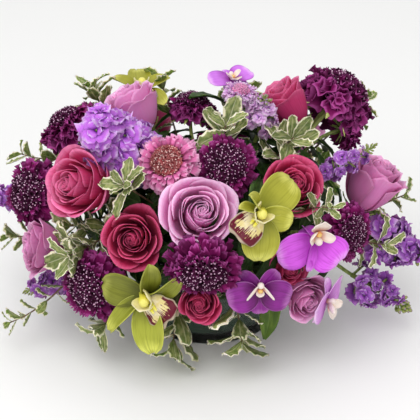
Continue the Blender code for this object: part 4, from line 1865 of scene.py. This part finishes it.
ROSES = (
    Rose(
        "rose_magenta_1", -42, 32, 31, 10, 1, 1.19, shift=(2, -4), leaves=22,
        petals=36, crowding=1.4, heart=(-0.22, -0.14), dress=Dress.MAGENTA,
    ),
    Rose("rose_magenta_2", -8, 28, 27, 40, fullness=1.13, leaves=16),
    Rose("rose_magenta_3", -100, 58, 21, 0, 1.2, 1.45, openness=0.85, frill=0.02, dress=Dress.MAGENTA),
    Rose("rose_magenta_4", 18, 50, 25, 25, fullness=1.24, shift=(-3, -3)),
    Rose("rose_magenta_5", -3, 15, 23, 60, fullness=1.03, openness=0.9, shift=(0, -2)),
    Rose("rose_magenta_6", 22, 12, 19, 15),
    Rose("rose_magenta_7", 200, 30, 28, 30, dress=Dress.MAGENTA),
    Rose(
        "rose_lavender_1", 8, 40, 32, 5, 1, 1.13, shift=(0, -2),
        petals=44, crowding=1.4, heart=(0.08, 0.04), dress=Dress.LAVENDER,
    ),
    Rose("rose_lavender_2", -110, 58, 25, 30, 1.15, 1.3, frill=0.045, shift=(2, 3), dress=Dress.LAVENDER),
    Rose("rose_lavender_3", 95, 25, 26, 0, 1.25, 1.3, tilt=38, openness=0.92, frill=0.06, dress=Dress.MAUVE),
    Rose("rose_lavender_4", -75, 12, 21, 45, fullness=1.4, leaves=20, frill=0.03, dress=Dress.MAUVE),
    Rose("rose_lavender_5", 28, -2, 18, 20, fullness=1.35, frill=0.02, dress=Dress.MAUVE),
    Rose("rose_lavender_6", 145, 30, 26, 0, crowding=1.5, dress=Dress.LAVENDER),
)
PINK_DRESS = (Dress.PINK, Dress.PINK_DOME, Dress.PINK_STAMEN)
PALE_DRESS = (Dress.STOCK_PALE, Dress.PINK, Dress.BUD)
SCABIOSAS = (
    Scabiosa("scabiosa_plum_1", -115, 50, 27, fullness=1.3, shift=(-4, 2), dome=0.44, depth=1.3, flared=2),
    Scabiosa("scabiosa_plum_2", -48, 28, 28, fullness=1.3, leaves=20),
    Scabiosa("scabiosa_plum_3", 165, 62, 23, depth=1.6, flared=2),
    Scabiosa("scabiosa_plum_4", 5, 46, 26, fullness=1.3, shift=(0, 4)),
    Scabiosa(
        "scabiosa_plum_5", 108, 44, 31, fullness=1.5, tilt=-6, swing=22, shift=(2, -8), leaves=8,
        depth=1.7, flared=3,
    ),
    Scabiosa("scabiosa_plum_6", 110, 2, 21),
    Scabiosa("scabiosa_plum_7", -38, 6, 28, fullness=1.35, leaves=18),
    Scabiosa("scabiosa_plum_8", 0, -8, 29, fullness=1.34, tilt=-14, shift=(0, -7), depth=0.8),
    Scabiosa("scabiosa_plum_9", 45, 15, 25),
    Scabiosa("scabiosa_plum_10", 175, 18, 26),
    Scabiosa("scabiosa_pink_1", -22, 50, 25, fullness=1.27, dress=PINK_DRESS, dome=0.36),
    Scabiosa(
        "scabiosa_pink_2", 80, 80, 14, fullness=1.4, shift=(0, 2), leaves=18, dress=PALE_DRESS, dome=0.32
    ),
)
ORCHIDS = (
    Cymbidium(
        "cymbidium_1", 14, 32, 33, -50, lip=-142,
        tepals=(
            Tepal(-98, 1.08, 0.42, 8),
            Tepal(36, 1.20, 0.38, 4, arch=0.6),
            Tepal(-22, 0.78, 0.40, 16, 20),
            Tepal(112, 0.86, 0.22, 58, 62),
            Tepal(152, 0.80, 0.20, 50, 50),
        ),
    ),
    Cymbidium(
        "cymbidium_2", -12, 10, 33, 25, shift=(-4, 6), lip=-36, dress=Dress.LIME_DEEP,
        # The set tones paint shade on the left tepal and light on the lower ones.
        tepals=(
            Tepal(174, 1.10, 0.38, 4, tone=0.2),
            Tepal(74, 1.00, 0.26, 30, 40),
            Tepal(16, 1.04, 0.24, 26, 44, 1.2, tone=0.7),
            Tepal(-138, 1.26, 0.19, 18, 48, tone=1.3),
            Tepal(-80, 1.42, 0.27, 20, tone=2.0),
        ),
    ),
    Cymbidium("cymbidium_3", 190, 45, 26, 180, fullness=1.25, tilt=50, shift=(0, -6)),
    Phalaenopsis(
        "phalaenopsis_1", 20, 0, 30, 180, shift=(0, 5), lip=86, lip_start=0.26,
        tepals=(
            Tepal(50, 0.70, 0.34, -80),
            Tepal(106, 0.70, 0.34, -80),
            Tepal(-102, 0.84, 0.16, 16),
            Tepal(-46, 1.06, 0.52, 12),
            Tepal(192, 1.06, 0.52, 12),
        ),
    ),
    Phalaenopsis(
        "phalaenopsis_2", 5, 6, 27, 180, fullness=1.1, lip=-92, lip_start=-0.2, horns=1.0,
        dress=Dress.ORCHID_DEEP,
        tepals=(
            Tepal(44, 0.84, 0.38, -6),
            Tepal(138, 0.84, 0.38, -6),
            Tepal(-88, 0.86, 0.36, 2),
            Tepal(-14, 1.02, 0.54, 10),
            Tepal(194, 1.04, 0.54, 10),
        ),
    ),
    Phalaenopsis("phalaenopsis_3", 50, 5, 22, -30, fullness=1.3, tilt=-12, swing=12, dress=Dress.ORCHID_PALE),
    Phalaenopsis(
        "phalaenopsis_4", 5, 42, 16, 0, fullness=1.4, tilt=36, swing=24, shift=(2, 1), dress=Dress.ORCHID_MID
    ),
)
STOCKS = (
    Stock(
        "stock_violet_1", -58, 52, 26, 0, 1.35, 1.6, 1.15, shift=(-8, 11),
        florets=28, floret=0.5, looseness=0.9, buds=0, dress=Dress.STOCK,
    ),
    Stock("stock_violet_2", -100, 5, 12, 0, 1.4, 1.4, florets=10, floret=0.7),
    Stock("stock_violet_3", -75, -12, 12, 0, 1.4, 1.4, florets=10, floret=0.7),
    Stock(
        "stock_violet_4", 80, -4, 22, 0, 1.2, 1.4, 1.2, tilt=-22, shift=(3, -4),
        florets=20, floret=0.52, looseness=1.5,
    ),
    Stock(
        "stock_violet_5", 72, -10, 20, 0, 1.3, 1.4, 1.2, tilt=-16,
        florets=15, floret=0.38, looseness=2.6, buds=26,
    ),
    Stock(
        "stock_violet_6", 75, 42, 12, 0, 2.0, 1.4, shift=(10, 4), leaves=12,
        florets=12, floret=0.5, looseness=1.8, buds=18,
    ),
    Stock(
        "stock_violet_7", 20, 72, 14, 0, 1.1, 1.4, leaves=16,
        florets=12, floret=0.6, looseness=1.4, dress=Dress.STOCK_PALE,
    ),
    Stock("stock_violet_8", 230, 18, 20, 0, 1.8, 1.4, 1.6, florets=20, floret=0.58),
)
SHOOTS = (
    (Shoot((-116, 54, 222), -130, 60, 9, 24, 24),),
    (Shoot((-48, 82, 216), 205, 50, 4, 24),),
    (Shoot((-200, -14, 88), -85, 5, 5, 22),),
    (Shoot((-195, -82, 31), -74, -12, 8, 19, 62),),
    (Shoot((-131, -94, 117), -42, 5, 15, 32, 50), Shoot((-134, -52, 124), -60, 12, 7, 31, 50)),
    (Shoot((-78, -92, 194), -42, 45, 2, 27, 8),),
    (Shoot((-106, -106, 34), -45, -30, 7, 28, 55),),
    (Shoot((-34, -118, 24), -5, -55, 6, 31, 45),),
    (Shoot((33, -124, 36), 10, -60, 7, 31, 45),),
    (Shoot((17, -24, 219), 0, 60, 6, 30),),
    (Shoot((81, -28, 208), 30, 50, 6, 28),),
    (Shoot((115, -108, 178), 40, 20, 4, 17),),
    (Shoot((176, -44, 98), 62, 15, 4, 24), Shoot((198, 4, 127), 88, 25, 4, 24)),
    (Shoot((162, 84, 196), 120, 40, 5, 26), Shoot((120, 98, 100), 130, 5, 6, 28)),
    (
        Shoot((-114, 88, 178), 225, 35, 6, 28),
        Shoot((-190, 46, 150), 260, 20, 4, 24),
        Shoot((-40, 122, 96), 195, -5, 6, 28),
    ),
    (Shoot((38, 108, 186), 170, 40, 6, 30), Shoot((60, 122, 88), 160, -10, 6, 28)),
)
SPRIGS = tuple(Sprig(f"pittosporum_{i}", shoots) for i, shoots in enumerate(SHOOTS, 1))


# ---- studio


@dataclass
class Studio:
    """The pale table, the soft light and the camera."""

    aim: Point = (0.002, 0.0, 0.111)
    elevation: float = 31.0
    distance: float = 1.5
    lens: float = 128.3
    sensor: float = 36.0
    far: float = 12.0  # from the middle of the table to its sides
    room: float = 0.7  # how bright the surroundings are
    lamp_side: float = 1.4
    # Each lamp's degrees from the front and above the level, distance and watts.
    lamps: ClassVar[dict[str, tuple[float, ...]]] = {
        "key": (-35, 60, 1.6, 12.0),
        "fill": (15, 32, 1.8, 5.5),
        "back": (170, 62, 1.6, 3.5),
    }

    def build(self) -> None:
        """Makes the floor, the surroundings, the lamps and the camera."""
        self.floor()
        world = bpy.data.worlds.new("soft_room")
        world.use_nodes = True
        light = world.node_tree.nodes["Background"]
        Graph(world.node_tree).fill(light, {"Color": (1, 1, 1, 1), "Strength": self.room})
        bpy.context.scene.world = world
        for name, (azimuth, elevation, distance, power) in self.lamps.items():
            lamp = bpy.data.lights.new(name, "AREA")
            lamp.energy, lamp.size = power, self.lamp_side
            self.aimed(lamp, azimuth, elevation, distance)
        view = bpy.data.cameras.new("view")
        view.lens, view.sensor_width = self.lens, self.sensor
        bpy.context.scene.camera = self.aimed(view, 0.0, self.elevation, self.distance)

    def floor(self) -> None:
        """Makes the table top, which runs far back and away."""
        mesh = bpy.data.meshes.new("table_top")
        far = self.far
        mesh.from_pydata([(-far, -far, 0), (far, -far, 0), (far, far, 0), (-far, far, 0)], [], [(0, 1, 2, 3)])
        graph = Paint("pale_table")
        tint = graph.blend(graph.noise(graph.place(), 2.0), linear((243, 243, 242)), linear((247, 247, 246)))
        cloth = {"Base Color": tint, "Roughness": 0.6, "Specular IOR Level": 0.2}
        mesh.materials.append(graph.finished(cloth))
        new_object("table_top", mesh)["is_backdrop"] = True

    def aimed(
        self, data: bpy.types.ID, azimuth: float, elevation: float, distance: float
    ) -> bpy.types.Object:
        """Adds a lamp or a camera that looks at the flowers.

        Args:
            data: The lamp or camera.
            azimuth: Degrees from the front towards +X.
            elevation: Degrees above the level.
            distance: Its distance in metres.

        Returns:
            Its object.
        """
        obj = new_object(data.name, data)
        way = heading(azimuth, elevation)
        obj.location = Vector(self.aim) + way * distance
        obj.rotation_euler = way.to_track_quat("Z", "Y").to_euler()
        return obj


def main() -> None:
    """Builds every piece in order."""
    logging.basicConfig(level=logging.INFO, format="%(message)s")
    bpy.context.scene.view_settings.view_transform = "Standard"
    Studio().build()
    for part in (Vase(), Lining(), BladeLeaf(), *ROSES, *SCABIOSAS, *ORCHIDS, *STOCKS, *SPRIGS):
        piece = part.build()
        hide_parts(part.node)
        log.info("%s: %d faces", piece.name, len(piece.data.polygons))
    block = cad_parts["floral_foam"]
    block.data.materials.clear()
    block.data.materials.append(Dress.FOAM.made())
    SHAPES.clear()
    seen_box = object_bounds()
    [[list(corner) for corner in box] for box in (CAD_BOX, seen_box)]


if __name__ == "__main__":
    main()
